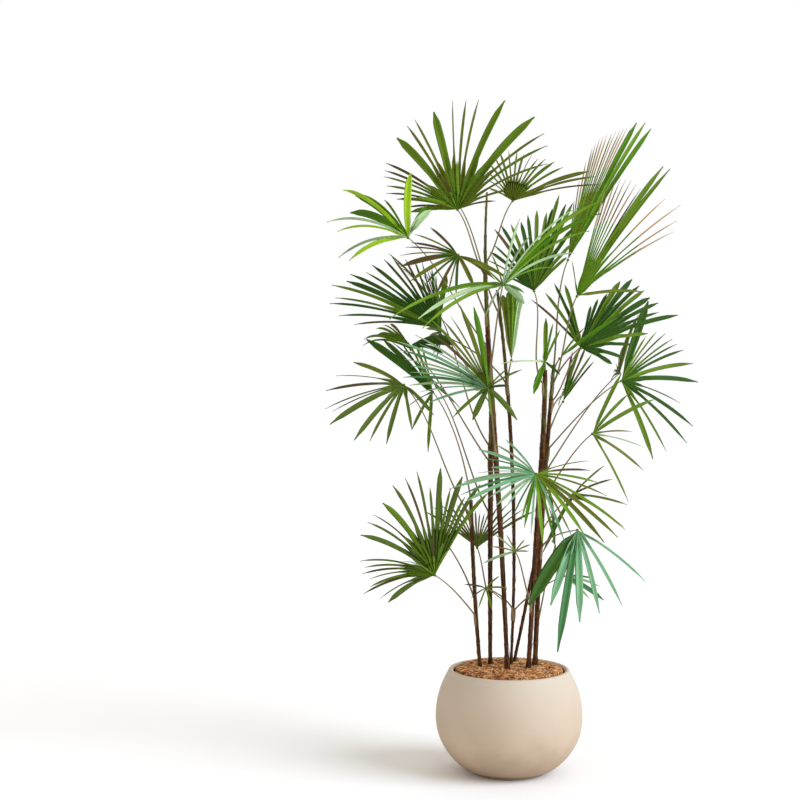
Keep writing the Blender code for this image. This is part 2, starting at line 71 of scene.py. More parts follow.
# Canes: foot in plan, tip, bow, and radii at the foot, where the sheaths are thickest and at the tip. The bow
# is greatest at half height, or higher up on a cane that bends late
CANE_FOOT_HEIGHT = MULCH_HIGH.z + 0.0004
THICKEST_SHARE = 0.6
CANES = {
    "cane_1": dict(foot=(-0.067, 0.000), tip=(-0.089, -0.004, 0.630),
        bow=(-0.003, 0.0), radii=(0.0050, 0.0052, 0.0050)),
    "cane_2": dict(foot=(-0.044, 0.030), tip=(-0.043, 0.030, 0.860),
        bow=(-0.001, 0.0), radii=(0.0052, 0.0067, 0.0056)),
    "cane_3": dict(foot=(-0.004, -0.022), tip=(-0.0535, -0.020, 1.336),
        bow=(-0.012, 0.0), late=3, radii=(0.0056, 0.0074, 0.0026)),
    "cane_4": dict(foot=(0.004, 0.030), tip=(-0.030, 0.034, 1.115),
        bow=(0.020, 0.0), radii=(0.0038, 0.0050, 0.0040)),
    "cane_5": dict(foot=(0.011, 0.062), tip=(0.066, 0.064, 0.520),
        bow=(0.001, 0.0), radii=(0.0044, 0.0046, 0.0042)),
    "cane_6": dict(foot=(0.0445, -0.012), tip=(0.080, -0.010, 0.931),
        bow=(0.004, 0.0), late=3, radii=(0.0058, 0.0074, 0.0058)),
    "cane_7": dict(foot=(0.060, 0.022), tip=(0.101, 0.022, 0.942),
        bow=(-0.005, 0.0), radii=(0.0064, 0.0062, 0.0046)),
}

# Fronds: cane and height of the petiole's foot (None: on the cane's tip), hub, lean, turn about the vertical,
# largest share of the reach over which leaflets are united (palm), rise of the midribs as a share of their
# length (arch), stations past the valleys that keep the palm's tint (green), tints dealt to the leaflets,
# seed of the dice, a shorter blade in front (inner), and fans of (bearings, kinds, reaches) with tints of
# their own or none. A kind is a letter of KINDS for each leaflet, or how many leaflets are dealt; bearings
# and reaches in between lie on the polylines of those given
# Leaflets of the blue and teal tints are partly a painted reflection of the light on their gloss, teal with
# painted shade
# Leaflets of the pale tint are partly a painted highlight, standing in for glints of light
FRONDS = {
    "frond_top_left": dict(
        cane="cane_3", height=1.150, hub=(-0.122, 0.040, 1.300), lean=(-0.30, 0.20), palm=0.34,
        tints="mid olive mid", seed=1, arch=0.065,
        fans=(((182, 176, 169.4, 165.7, 160, 155.5, 151, 146.2), "bnmnnnnn",
               (11.2, 12, 14.7, 17.6, 18, 19.5, 20, 20.7)),
              ((130.3, 120.1, 114.7, 103.8, 92.6, 86, 78.7), "wnnwnnn",
               (22.8, 23.7, 24, 24.1, 25.8, 25.8, 26.2), "mid olive olive mid olive olive olive"),
              ((65.4, 50.4), "ww", (27.6, 27.6), "mid"),
              ((40.4, 34.2, 25.9, 19, 12), "nnnnn", (26.3, 25.1, 23, 14, 9))),
        inner=dict(lean=(-0.10, -0.80), seed=51, palm=0.36, tints="spring mid",
                   fans=(((165, 142, 118, 100, 90, 74, 58), "bmnbmnm", (10, 10, 8, 9, 10.5, 8, 7)),))),
    "frond_top_right": dict(
        cane="cane_3", height=1.180, hub=(0.005, -0.060, 1.313), lean=(0.20, -1.50), palm=0.34,
        tints="spring olive", seed=2,
        fans=(((154, 76), "nnnnnnnnn", (6, 8, 9, 10, 10, 9.5), "olive mid"),
              ((66, 40), "nnmm", (10, 10, 11, 12), "olive mid"),
              ((31, 20, 16, 10), "nmnn", (13, 18, 19, 20), "mid olive olive brown"))),
    "frond_young_left": dict(
        cane="cane_3", height=0.990, hub=(-0.232, -0.040, 1.232), lean=(-0.50, 0.50), palm=0.14,
        tints="bright", seed=3, arch=0.11,
        fans=(((60, 50), "mB", (9, 8.2), "fresh pale"), ((89.5,), "w", (15.3,), "bright"),
              ((124, 140.6, 144.5), "nwm", (11, 16.8, 20.1), "fresh fresh bright"),
              ((156, 168.9, 173.9), "wnn", (15.6, 20.3, 17.2), "fresh pale bright"),
              ((194.5, 199.5), "nb", (17.1, 14.8), "mist bright"))),
    "frond_dark_left": dict(
        cane="cane_3", height=1.060, hub=(-0.116, -0.120, 1.190), lean=(-0.10, 0.45), palm=0.18,
        tints="dark olive dark", seed=4,
        fans=(((136, 155, 164, 172, 181, 190), "mnnnnb", (9, 11, 11, 12, 13, 13), "brown olive brown"),
              ((208, 222, 241, 256, 268), "bnmnm", (12, 10, 10, 9, 9), "olive dark brown"),
              ((296, 325, 333), "bmm", (8, 10, 12.5), "olive brown"))),
    "frond_large_left": dict(
        cane="cane_3", height=0.860, hub=(-0.163, -0.060, 1.027), lean=(-0.50, 0.50), palm=0.40,
        tints="dark dark mid", seed=5,
        fans=(((81, 92), "wn", (12, 12), "mid"), ((98, 137), "nnnnnnm", (14, 16, 17, 18, 20, 21, 22)),
              ((143, 149, 154, 159, 164, 168, 173, 178), "nmbmnnnn", (22, 25, 25, 28, 26, 27, 24, 20)))),
    "frond_centre_bright": dict(
        cane="cane_3", height=0.930, hub=(-0.016, -0.200, 1.122), lean=(0.10, -0.25), palm=0.10,
        tints="spring", seed=6, arch=0.11,
        fans=(((240, 209, 202, 196, 190), "nmmmn", (8, 20, 20, 26, 17), "mist spring pale spring fresh"),
              ((145, 110), "nn", (9, 7), "mid"), ((75, 62), "nn", (14.6, 12), "pale mist"),
              ((46, 40, 36, 32), "nmmn", (23, 28, 26, 22), "pale spring fresh spring"),
              ((24, 18), "nn", (17, 12), "pale spring"), ((-20, -41), "mB", (5, 6.2), "fresh mist"))),
    "frond_spear_centre": dict(
        cane="cane_4", height=0.900, hub=(0.003, -0.035, 0.954), lean=(0.00, 0.20), palm=0.72,
        tints="mid fresh", seed=7,
        fans=(((98, 92, 87, 82), "wwww", (15, 16, 16.5, 15), "olive mid spring pale"),)),
    "frond_centre_dark": dict(
        cane="cane_6", height=0.900, hub=(0.054, -0.028, 1.111), lean=(0.20, 0.40), palm=0.52,
        tints="dark dark mid", seed=8,
        fans=(((156, 146, 137, 131, 123), "nnmnm", (12.6, 13, 13.5, 14.1, 16.9), "dark brown dark"),
              ((117, 109, 101, 94, 87.5), "mmmmm", (17, 16.3, 16.3, 17.7, 18.8)),
              ((81, 77, 75, 70, 66), "mmmmm", (18.5, 19.7, 23.2, 21.7, 22.5)),
              ((59, 52, 45.8), "mmm", (17, 14, 11)))),
    "frond_tall_right": dict(
        cane="cane_7", height=None, hub=(0.133, 0.050, 1.184), lean=(0.20, 0.10), palm=0.46, green=4,
        tints="spring mid", seed=9,
        fans=(((84, 78.2, 75.3, 71.3, 67.6, 64.5), "tttttttttttttt", (14, 26.2, 29.4, 31.3, 33.1, 34.5),
               "olive straw straw olive straw"),
              ((63.2, 60.9, 57.9), "bmb", (36.1, 37.1, 36.5), "fresh spring fresh"))),
    "frond_upper_right": dict(
        cane="cane_7", height=0.900, hub=(0.150, -0.060, 1.099), lean=(0.20, 0.10), palm=0.27, green=5,
        tints="fresh mid", seed=10,
        fans=(((98,), "n", (8,)), ((75.2, 71.1, 65.9, 59.4), "tttttttt", (25, 28, 29.2, 28.6), "straw brown"),
              ((56.3, 53.5), "bm", (35.6, 36.1), "mid"),
              ((48, 41.3, 37, 33.9, 35.4), "ttttt", (30, 31.6, 28.6, 26.5, 21), "straw"),
              ((4,), "m", (15,), "olive"))),
    "frond_right": dict(
        cane="cane_7", height=0.860, hub=(0.162, 0.000, 0.981), lean=(0.25, 0.30), palm=0.55,
        tints="dark dark mid", seed=11,
        fans=(((136, 122, 112, 105), "nmmm", (16, 15, 16, 15)),
              ((76, 12), "mmmbbmmbmnbm", (10, 12, 14, 18, 20, 20, 20, 20, 21, 20, 24, 16)),
              ((3, -26), "mbb", (12, 10, 8), "dark"))),
    "frond_narrow_right": dict(
        cane="cane_7", height=0.790, hub=(0.124, 0.080, 0.854), lean=(0.20, 0.30), palm=0.34,
        tints="dark mid", seed=12,
        fans=(((79, 52), "nnnnn", (12, 13, 13, 13, 12)),)),
    "frond_far_right": dict(
        cane="cane_7", height=0.750, hub=(0.257, 0.050, 0.904), lean=(0.50, 0.50), palm=0.22,
        tints="mid dark", seed=13,
        fans=(((69,), "w", (20,), "dark"), ((58, 24), "nnnnnn", (12, 15, 16, 16, 17)),
              ((13, -3), "mb", (18, 18.7), "mid dark"), ((-21, -33, -44), "nmm", (15, 20, 21)),
              ((-57, -68), "nb", (19, 19), "mid"))),
    "frond_lower_right": dict(
        cane="cane_7", height=0.640, hub=(0.184, -0.100, 0.791), lean=(0.30, 0.35), palm=0.12, tints="mid",
        seed=14,
        fans=(((64, 45, 27), "mmm", (15, 12, 16), "mid"), ((2, -14, -35), "nnm", (9, 12, 14), "olive mist"),
              ((-62,), "n", (17,), "mid"))),
    "frond_low_far_left": dict(
        cane="cane_1", height=0.600, hub=(-0.238, -0.100, 0.900), lean=(-0.20, 0.85), palm=0.20, tints="sage",
        seed=15,
        fans=(((158,), "b", (13,), "olive"),
              ((174, 184, 196, 200), "nnnn", (16, 18, 18.5, 17), "sage brown sage brown"),
              ((209, 228, 240, 256), "bbmb", (18.5, 16, 14, 13), "sage"),
              ((284, 317), "mb", (10, 9.5), "sage"))),
    "frond_edge_left": dict(
        cane="cane_1", height=None, hub=(-0.178, 0.020, 0.879), lean=(-0.20, 0.10), palm=0.26,
        tints="dark mid", seed=16,
        fans=(((266, 241, 211), "mmn", (14, 10, 7), "mid"), ((143, 134), "wb", (20, 17), "dark"),
              ((123, 104), "nnnn", (14, 13, 12, 11)))),
    "frond_hidden_left": dict(
        cane="cane_2", height=0.720, hub=(-0.236, 0.130, 0.975), lean=(-0.50, 0.30), palm=0.45,
        tints="olive mid", seed=17, arch=0.16,
        fans=(((176, 168, 158, 150, 140, 130), "nmbmnm", (12, 12, 9, 10, 9, 8)),
              ((8, -6), "Bb", (11, 8), "dark"))),
    "frond_centre_blue": dict(
        cane="cane_3", height=0.760, hub=(-0.048, -0.190, 0.897), lean=(-0.30, -0.45), palm=0.18, tints="mid",
        seed=18,
        fans=(((277, 245.7, 220.8, 195.9), "mwmn", (6, 8.1, 10.3, 13.9), "spring sage mid blue"),
              ((184, 174.3, 167, 160, 152.9), "nnnnnnnn", (15, 19.4, 17, 20, 22.7), "blue mist teal blue"),
              ((148, 144.5, 136.2, 130, 124, 117, 108, 100.2), "nnmnnnmb",
               (18, 19.7, 17.1, 20, 18, 17.4, 19, 17.9), "blue mist brown mid olive mid olive fresh"),
              ((45, 28, 6), "nnm", (6, 8.5, 4.5), "olive mid dark"), ((-48,), "w", (9.6,), "sage"))),
    "frond_spear_right": dict(
        cane="cane_6", height=None, hub=(0.079, -0.030, 0.950), lean=(0.10, 0.30), palm=0.20,
        tints="fresh mid", seed=19,
        fans=(((250, 241), "wn", (7.6, 5), "fresh"), ((182,), "n", (10,), "pale"),
              ((89, 65), "bnm", (10, 9, 8)), ((-40,), "m", (4.5,), "dark"))),
    "frond_sprig_right": dict(
        cane="cane_7", height=0.925, hub=(0.112, -0.045, 0.958), lean=(0.10, 0.10), palm=0.20, tints="olive",
        seed=20,
        fans=(((50, 34), "nm", (9, 16), "olive fresh"),)),
    "frond_umbrella": dict(
        cane="cane_6", height=0.620, hub=(0.058, -0.160, 0.706), lean=(0.00, 0.80), palm=0.15, tints="spring",
        seed=21,
        fans=(((134, 146, 158, 165, 172.6, 180, 185.3, 189.4, 195, 200.8, 206.5, 217, 226.7, 240),
               "nnmnmnnmnmnmnn", (10, 11, 13.8, 12, 10.2, 13, 16, 19.5, 17, 16.6, 11.6, 11, 9.9, 10),
               "blue mist blue teal blue"),
              ((250, 256, 265.3, 276, 286, 294), "nmnmnn", (10, 11.2, 12.2, 14, 14, 15), "spring fresh blue"),
              ((302, 331), "nmmmn", (15, 16, 20, 21.6, 21.6), "olive spring olive"),
              ((343, 373), "nnnn", (16, 14, 12, 12), "olive spring brown"))),
    "frond_back_right_low": dict(
        cane="cane_5", height=None, hub=(0.148, 0.080, 0.637), lean=(0.20, 0.20), palm=0.15,
        tints="olive brown", seed=22,
        fans=(((40, 20), "nn", (10, 10)), ((-11, -33), "nn", (13, 15)), ((-118,), "m", (15,), "dark"))),
    "frond_drooping": dict(
        cane="cane_7", height=0.520, hub=(0.152, -0.100, 0.575), lean=(0.20, 0.90), palm=0.13, tints="blue",
        seed=23,
        fans=(((233,), "B", (18.3,), "dark"), ((248, 258, 270), "www", (16, 24, 18), "blue teal blue"),
              ((286, 302, 325), "bmm", (17, 17.7, 18), "blue"))),
    "frond_small_low": dict(
        cane="cane_4", height=0.372, hub=(0.127, 0.050, 0.449), lean=(0.40, 0.50), palm=0.20,
        tints="blue teal", seed=24,
        fans=(((352, 318), "nmbm", (7, 9, 11, 8), "teal mist"),)),
    "frond_low_left": dict(
        cane="cane_1", height=0.366, hub=(-0.169, -0.070, 0.465), lean=(0.00, -0.40), palm=0.42,
        tints="sage sage mid", seed=25, arch=0.09,
        fans=(((212, 204, 195.6, 190.6, 184, 179.8, 173, 169.1), "bnnmnnnn",
               (12.8, 14, 17.2, 15.2, 15, 16.6, 16, 17.3)),
              ((151, 140.6, 134.1, 123.7, 113.1, 106.1, 98.5, 92), "bnnbmnnn",
               (19.2, 19.6, 19.8, 20.7, 23.2, 23.8, 24.9, 21)),
              ((86.6, 80, 74.2, 69, 64.5, 58.3), "bnbnmm", (25.5, 21, 24.4, 20, 24, 23.2), "sage mid")),
        inner=dict(lean=(0.0, -1.10), seed=52, palm=0.40, tints="mid spring",
                   fans=(((150, 128, 108, 92, 76, 62), "mnmnmn", (8, 9, 9, 10, 9, 8)),))),
    "frond_low_centre": dict(
        cane="cane_2", height=0.400, hub=(-0.076, 0.080, 0.509), lean=(-0.10, 0.40), palm=0.30,
        tints="sage olive brown", seed=26,
        fans=(((147, 32), "nnnnnnnnnnnnnnnn", (15, 13, 11, 10, 8, 8, 11, 13, 16)),)),
    "frond_sprout_left": dict(
        cane="cane_4", height=0.375, hub=(-0.053, -0.060, 0.436), lean=(-0.10, 0.50), palm=0.12,
        tints="mid olive", seed=27,
        fans=(((40, -186), "nnnmnnn", (4, 5, 5, 5, 4, 5)),)),
    "frond_sprout_middle": dict(
        cane="cane_6", height=0.400, hub=(0.013, -0.070, 0.521), lean=(0.00, 0.40), palm=0.12,
        tints="olive mid", seed=28,
        fans=(((201, 170, 142, 118), "mnnn", (7.7, 5.5, 6, 4.2), "mist olive"),
              ((52, 23, 0), "nnn", (3.4, 3.8, 3.1)))),
    "frond_back_1": dict(
        cane="cane_4", height=1.060, hub=(-0.122, 0.150, 1.316), lean=(0.00, -0.40), turn=92,
        tints="dark mid", seed=31,
        fans=(((104, 0), 13, (15, 17, 17, 17, 16, 15, 14)),)),
    "frond_back_2": dict(
        cane="cane_7", height=0.900, hub=(0.199, 0.200, 1.002), lean=(0.00, -0.45), turn=90,
        tints="mid mid olive", seed=32,
        fans=(((72, -34), 13, (12, 13, 14, 14, 14, 13, 12)),)),
    "frond_back_3": dict(
        cane="cane_4", height=0.900, hub=(-0.165, 0.190, 1.010), lean=(0.10, 0.20), turn=100,
        tints="dark mid", seed=33,
        fans=(((110, -30), 17, (15, 16, 16, 16, 16, 16, 15, 14, 13)),)),
    "frond_back_4": dict(
        cane="cane_7", height=0.820, hub=(0.134, 0.190, 0.872), lean=(0.00, -0.35), turn=90, tints="dark mid",
        seed=34,
        fans=(((92, -18), 13, (12, 13, 14, 15, 15, 14, 13)),)),
    "frond_back_5": dict(
        cane="cane_7", height=0.700, hub=(0.262, 0.180, 0.918), lean=(0.00, -0.36), turn=92,
        tints="olive mid", seed=35,
        fans=(((72, -10), 11, (15, 16, 16, 16, 15, 14)),)),
    "frond_back_6": dict(
        cane="cane_5", height=0.470, hub=(0.080, 0.185, 0.715), lean=(0.00, -0.05), turn=90,
        tints="mid mid blue", seed=36,
        fans=(((88, -28), 13, (14, 16, 16, 16, 16, 16, 15)),)),
    "frond_back_7": dict(
        cane="cane_1", height=0.400, hub=(-0.164, 0.190, 0.520), lean=(0.00, 0.05), turn=94,
        tints="dark olive", seed=37,
        fans=(((108, -25), 15, (12, 13, 14, 15, 15, 15, 14, 13)),)),
    "frond_side_left_high": dict(
        cane="cane_2", height=0.755, hub=(-0.190, 0.120, 1.095), lean=(0.00, 0.90), turn=92, tints="dark mid",
        seed=41,
        fans=(((66, 6), 9, (12, 13, 13, 13, 12)),)),
    "frond_side_left_low": dict(
        cane="cane_2", height=0.600, hub=(-0.176, 0.160, 0.884), lean=(0.00, 1.00), turn=92, tints="mid dark",
        seed=42,
        fans=(((66, -30), 12, (12, 13, 13, 13, 12, 12)),)),
    "frond_side_right": dict(
        cane="cane_7", height=0.330, hub=(0.110, 0.190, 0.500), lean=(0.00, 0.10), turn=92, tints="dark mid",
        seed=45,
        fans=(((110, -60), 16, (12, 14, 15, 16, 16, 16, 15, 14, 12)),)),
}

# Kinds of leaflet: the width in millimetres of a long one, and how far it may roll about its midrib
KINDS = {
    "B": (27.0, 0.20), "w": (18.5, 0.25), "b": (13.5, 0.30),
    "m": (9.6, 0.50), "n": (6.2, 0.80), "t": (3.4, 0.40),
}
LEAF_SLOTS = {
    "mid": "leaf_mid", "dark": "leaf_dark",
    "bright": "leaf_bright", "spring": "leaf_bright", "fresh": "leaf_bright",
    "blue": "leaf_blue", "teal": "leaf_blue", "pale": "leaf_blue", "mist": "leaf_blue",
    "olive": "leaf_olive", "sage": "leaf_olive", "brown": "leaf_olive", "straw": "leaf_olive",
}
# A leaflet's share of its kind's width, at most 1, is LEAST_WIDTH plus its reach in centimetres / WIDTH_REACH
LEAST_WIDTH = 0.50
WIDTH_REACH = 36.0
# Leaflets part where their spread is PARTING_SPREAD times their width, between the least share of their reach
# and the frond's palm; a thread counts as NARROWEST wide, and wider than WIDEST_WEB apart they part at once
PARTING_SPREAD = 1.3
LEAST_PALM = 0.07
PALM_SHARE = 0.32
NARROWEST = 0.0045
WIDEST_WEB = math.radians(30)
# Rise of a midrib as a share of its length, and stations up to the valleys and from there to the tip
LEAFLET_ARCH = 0.05
PALM_STATIONS = 7
BLADE_STATIONS = 14
# Points of a ring that lie on the midrib, above and below; where a leaflet is cut into two lengths, how far
# its guard rings stand off as a share of the way to the next ring, and how small its closing ring is drawn
MIDRIB_POINTS = (3, 9)
GUARD_SHARE = 0.008
SEAL_SHARE = 0.02
# Fine veins across a leaflet
VEINS = 26.0
# Radii of a petiole at its foot and at its hub, its thickness as a share of its width, how far below its foot
# it clasps the cane, and radius and depth of the boss at the hub
PETIOLE_RADII = (0.0025, 0.0014)
PETIOLE_FLATNESS = 0.86
CLASP_LENGTH = 0.030
HUB_RADIUS = 0.0034
HUB_DEPTH = 0.0022


# ---------------------------------------------------------------- numbers and meshes

def unit(vectors):
    """Vectors divided by their own lengths."""
    return vectors / np.maximum(np.linalg.norm(vectors, axis=-1, keepdims=True), 1e-12)


def smooth(low, high, value):
    """0 below low, 1 above high, and the cubic 3t^2 - 2t^3 between them."""
    t = np.clip((value - low) / (high - low), 0.0, 1.0)
    return t * t * (3.0 - 2.0 * t)


def angles_round(count):
    """Angles of that many points at even steps round a circle."""
    return np.linspace(0.0, TAU, count, endpoint=False)


def plan_way(angle):
    """Unit vectors in plan along some bearings."""
    return np.stack([np.cos(angle), np.sin(angle)], -1)


def section(across, over, angle, flatness=1.0):
    """Unit circles round the points of a line, or ellipses: across times the cosine of each angle, plus over
    times its sine and the flatness."""
    over = over[:, None] * (flatness * np.sin(angle))[None, :, None]
    return across[:, None] * np.cos(angle)[None, :, None] + over


def polyline(values, count):
    """That many values at even steps along the polyline of those given."""
    return np.interp(np.linspace(0.0, 1.0, count), np.linspace(0.0, 1.0, len(values)), values)


def ripple(points, size, seed, waves=9):
    """Smooth noise of about -1 to 1: the mean of sine waves of about one size, whose directions and phases
    are dealt by a seed."""
    dice = np.random.default_rng(seed)
    ways = unit(dice.normal(size=(waves, points.shape[-1])))
    ways = ways * (TAU / size) * dice.uniform(0.6, 1.7, (waves, 1))
    return np.sin(points @ ways.T + dice.uniform(0.0, TAU, waves)).sum(-1) / math.sqrt(waves)


def tube_faces(count, rows, columns):
    """Faces of closed tubes: a quad for each cell of a grid that joins its last column to its first, and
    at each end a fan of triangles on a centre point. Returns quads, triangles and the UV of their corners:
    u runs round the ring and v along the tube."""
    i, j = np.meshgrid(np.arange(rows - 1), np.arange(columns), indexing="ij")
    k = (j + 1) % columns
    here, above = i * columns, (i + 1) * columns
    quads = np.stack([here + j, here + k, above + k, above + j], -1).reshape(-1, 4)
    u, v = j / columns, i / (rows - 1)
    du, dv = 1.0 / columns, 1.0 / (rows - 1)
    quad_uv = np.stack([u, v, u + du, v, u + du, v + dv, u, v + dv], -1).reshape(-1, 4, 2)
    ring = np.arange(columns)
    after = (ring + 1) % columns
    last = (rows - 1) * columns
    first_pole, last_pole = np.full(columns, rows * columns), np.full(columns, rows * columns + 1)
    first_fan = np.stack([first_pole, after, ring], -1)
    last_fan = np.stack([last_pole, last + ring, last + after], -1)
    triangles = np.concatenate([first_fan, last_fan])
    u = ring / columns
    zero, one = np.zeros(columns), np.ones(columns)
    first_uv = np.stack([u + du / 2, zero, u + du, zero, u, zero], -1)
    last_uv = np.stack([u + du / 2, one, u, one, u + du, one], -1)
    tri_uv = np.concatenate([first_uv, last_uv]).reshape(-1, 3, 2)
    step = (rows * columns + 2) * np.arange(count)[:, None, None]
    quads = (quads[None] + step).reshape(-1, 4)
    triangles = (triangles[None] + step).reshape(-1, 3)
    return quads, triangles, np.tile(quad_uv, (count, 1, 1)), np.tile(tri_uv, (count, 1, 1))


def tubes(groups):
    """Closed tubes joined into one set of arrays. Each group is a (count, rows, columns, 3) array of rings
    that turn anticlockwise seen from their far end; a pole is the mean of its ring."""
    points, quads, triangles, quad_uv, tri_uv = [], [], [], [], []
    base = 0
    for rings in groups:
        count, rows, columns, _ = rings.shape
        poles = rings[:, (0, -1)].mean(2)
        points.append(np.concatenate([rings.reshape(count, -1, 3), poles], 1).reshape(-1, 3))
        q, t, quv, tuv = tube_faces(count, rows, columns)
        quads.append(q + base)
        triangles.append(t + base)
        quad_uv.append(quv)
        tri_uv.append(tuv)
        base += len(points[-1])
    return tuple(np.concatenate(part) for part in (points, quads, triangles, quad_uv, tri_uv))


def add_mesh(name, shape, material, values=None):
    """An object from joined arrays, which wears a material; values are the relief at each point."""
    points, quads, triangles, quad_uv, tri_uv = shape
    mesh = bpy.data.meshes.new(name)
    mesh.vertices.add(len(points))
    mesh.vertices.foreach_set("co", points.astype(np.float32).ravel())
    corners = np.concatenate([quads.ravel(), triangles.ravel()])
    totals = np.concatenate([np.full(len(quads), 4), np.full(len(triangles), 3)])
    mesh.loops.add(len(corners))
    mesh.loops.foreach_set("vertex_index", corners.astype(np.int32))
    mesh.polygons.add(len(totals))
    mesh.polygons.foreach_set("loop_start", (np.cumsum(totals) - totals).astype(np.int32))
    mesh.polygons.foreach_set("loop_total", totals.astype(np.int32))
    layer = mesh.uv_layers.new(name="grain")
    layer.data.foreach_set("uv", np.concatenate([quad_uv.ravel(), tri_uv.ravel()]).astype(np.float32))
    if values is not None:
        layer = mesh.attributes.new("relief", "FLOAT", "POINT")
        layer.data.foreach_set("value", values.astype(np.float32))
    mesh.update(calc_edges=True)
    mesh.shade_smooth()
    mesh.materials.append(material)
    made = bpy.data.objects.new(name, mesh)
    bpy.context.scene.collection.objects.link(made)
    return made


def add_piece(name, shape, material, nodes, values=None):
    """A mesh that is part of the plant: it rides on the body, and is shown in place of its solids."""
    made = add_mesh(name, shape, material, values)
    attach(made, BODY)
    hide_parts(*nodes)
    return made


def strands(starts, ends, lifts, thick, wide, rows, sides, taper=0.4):
    """Fibres and chips: each centre line is a parabola from its start to its end that rises by lift at the
    middle, and its section an ellipse, wide and thick, that shrinks by taper towards both ends."""
    share = np.linspace(0.0, 1.0, rows)[None, :, None]
    span = (ends - starts)[:, None]
    lines = starts[:, None] + span * share + lifts[:, None] * 4.0 * share * (1.0 - share)
    tangents = unit(span + lifts[:, None] * 4.0 * (1.0 - 2.0 * share))
    tilted = np.where(np.abs(tangents[..., 2:]) > 0.9, np.array((1.0, 0.0, 0.0)), UP)
    across = unit(np.cross(tilted, tangents))
    over = np.cross(tangents, across)
    angle = angles_round(sides)[None, None, :, None]
    size = (1.0 - taper * np.abs(2.0 * share - 1.0) ** 2)[..., None]
    return lines[:, :, None] + size * (
        across[:, :, None] * np.cos(angle) * wide[:, None, None, None]
        + over[:, :, None] * np.sin(angle) * thick[:, None, None, None])


# ---------------------------------------------------------------- materials

def add_node(tree, kind, inputs=None, **settings):
    """A shader node with its settings; an input given as a socket is linked, and any other is set."""
    made = tree.nodes.new(kind)
    for key, value in settings.items():
        setattr(made, key, value)
    for key, value in (inputs or {}).items():
        if isinstance(value, bpy.types.NodeSocket):
            tree.links.new(value, made.inputs[key])
        else:
            made.inputs[key].default_value = value
    return made


def noise(tree, vector, scale, detail=3.0, roughness=0.55):
    """Soft noise from 0 to 1, with scale patches to the metre."""
    return add_node(tree, "ShaderNodeTexNoise", {
        "Vector": vector, "Scale": scale, "Detail": detail, "Roughness": roughness}).outputs["Fac"]


def stretch(tree, vector, scale):
    """A vector multiplied axis by axis, to draw a pattern out along one of them."""
    return add_node(tree, "ShaderNodeMapping", {"Vector": vector, "Scale": scale}).outputs[0]


def ramp(tree, factor, low, high, start=0.0, end=1.0):
    """Maps factor from low..high onto start..end, and holds it there outside."""
    return add_node(tree, "ShaderNodeMapRange", {
        "Value": factor, "From Min": low, "From Max": high, "To Min": start, "To Max": end}).outputs[0]


def blend_colour(tree, factor, first, second):
    """The first colour where factor is 0, and the second where it is 1."""
    return add_node(tree, "ShaderNodeMix", {0: factor, 6: first, 7: second}, data_type="RGBA").outputs[2]


def combine(tree, operation, first, second=0.0):
    """One number from two by an operation of the Math node."""
    return add_node(tree, "ShaderNodeMath", {0: first, 1: second}, operation=operation).outputs[0]


def new_material(name, specular):
    """A material with its tree, its shader and its texture coordinates."""
    made = bpy.data.materials.new(name)
    made.use_nodes = True
    tree = made.node_tree
    shader = tree.nodes["Principled BSDF"]
    shader.inputs["Specular IOR Level"].default_value = specular
    place = tree.nodes.new("ShaderNodeTexCoord")
    return made, tree, shader, place


def finish_material(tree, shader, colour, roughness, height, distance, strength):
    """Links the colour, the roughness and a bump of that height in metres."""
    bump = add_node(tree, "ShaderNodeBump", {"Height": height, "Distance": distance, "Strength": strength})
    tree.links.new(colour, shader.inputs["Base Color"])
    tree.links.new(roughness, shader.inputs["Roughness"])
    tree.links.new(bump.outputs[0], shader.inputs["Normal"])


def shade(colour, factor, warm=0.0):
    """A colour made lighter or darker, and warmer where warm is above 0."""
    red, green, blue = colour[:3]
    return (red * factor * (1 + warm), green * factor, blue * factor * (1 - warm), 1.0)


def stoneware(name, colour):
    """Matte cast stoneware: soft clouds, a fine speckle of darker and paler grains, a sanded grain, painted
    shade that makes it darker and warmer at the foot and fades out above it, and painted light that makes it
    paler and cooler towards the rim."""
    made, tree, shader, place = new_material(name, specular=0.30)
    spot = place.outputs["Object"]
    clouds = ramp(tree, noise(tree, spot, 14.0, 4.0), 0.35, 0.65)
    base = blend_colour(tree, clouds, shade(colour, 0.94, 0.02), shade(colour, 1.04))
    grains = ramp(tree, noise(tree, spot, 900.0, 2.0), 0.62, 0.74)
    base = blend_colour(tree, combine(tree, "MULTIPLY", grains, 0.35), base, shade(colour, 0.62, 0.08))
    pale = ramp(tree, noise(tree, spot, 520.0, 1.0), 0.64, 0.74)
    base = blend_colour(tree, combine(tree, "MULTIPLY", pale, 0.30), base, shade(colour, 1.22))
    height = add_node(tree, "ShaderNodeSeparateXYZ", {0: spot}).outputs[2]
    # Painted light: paler and cooler towards the rim, as the upper part catches the light
    base = blend_colour(tree, ramp(tree, height, 0.100, 0.235), base, shade(colour, 1.20, -0.10))
    # Painted shade: darker and warmer towards the foot, fading out above it, with an edge made uneven by the
    # clouds
    foot_shade_level = combine(tree, "ADD", height, combine(tree, "MULTIPLY", clouds, 0.012))
    base = blend_colour(tree, ramp(tree, foot_shade_level, 0.004, 0.100, 0.66, 0.0), base, shade(colour, 0.42, 0.24))
    rough = ramp(tree, clouds, 0.0, 1.0, 0.62, 0.74)
    grain = noise(tree, spot, 1300.0, 3.0, 0.7)
    finish_material(tree, shader, base, rough, grain, 0.0004, 0.35)
    return made


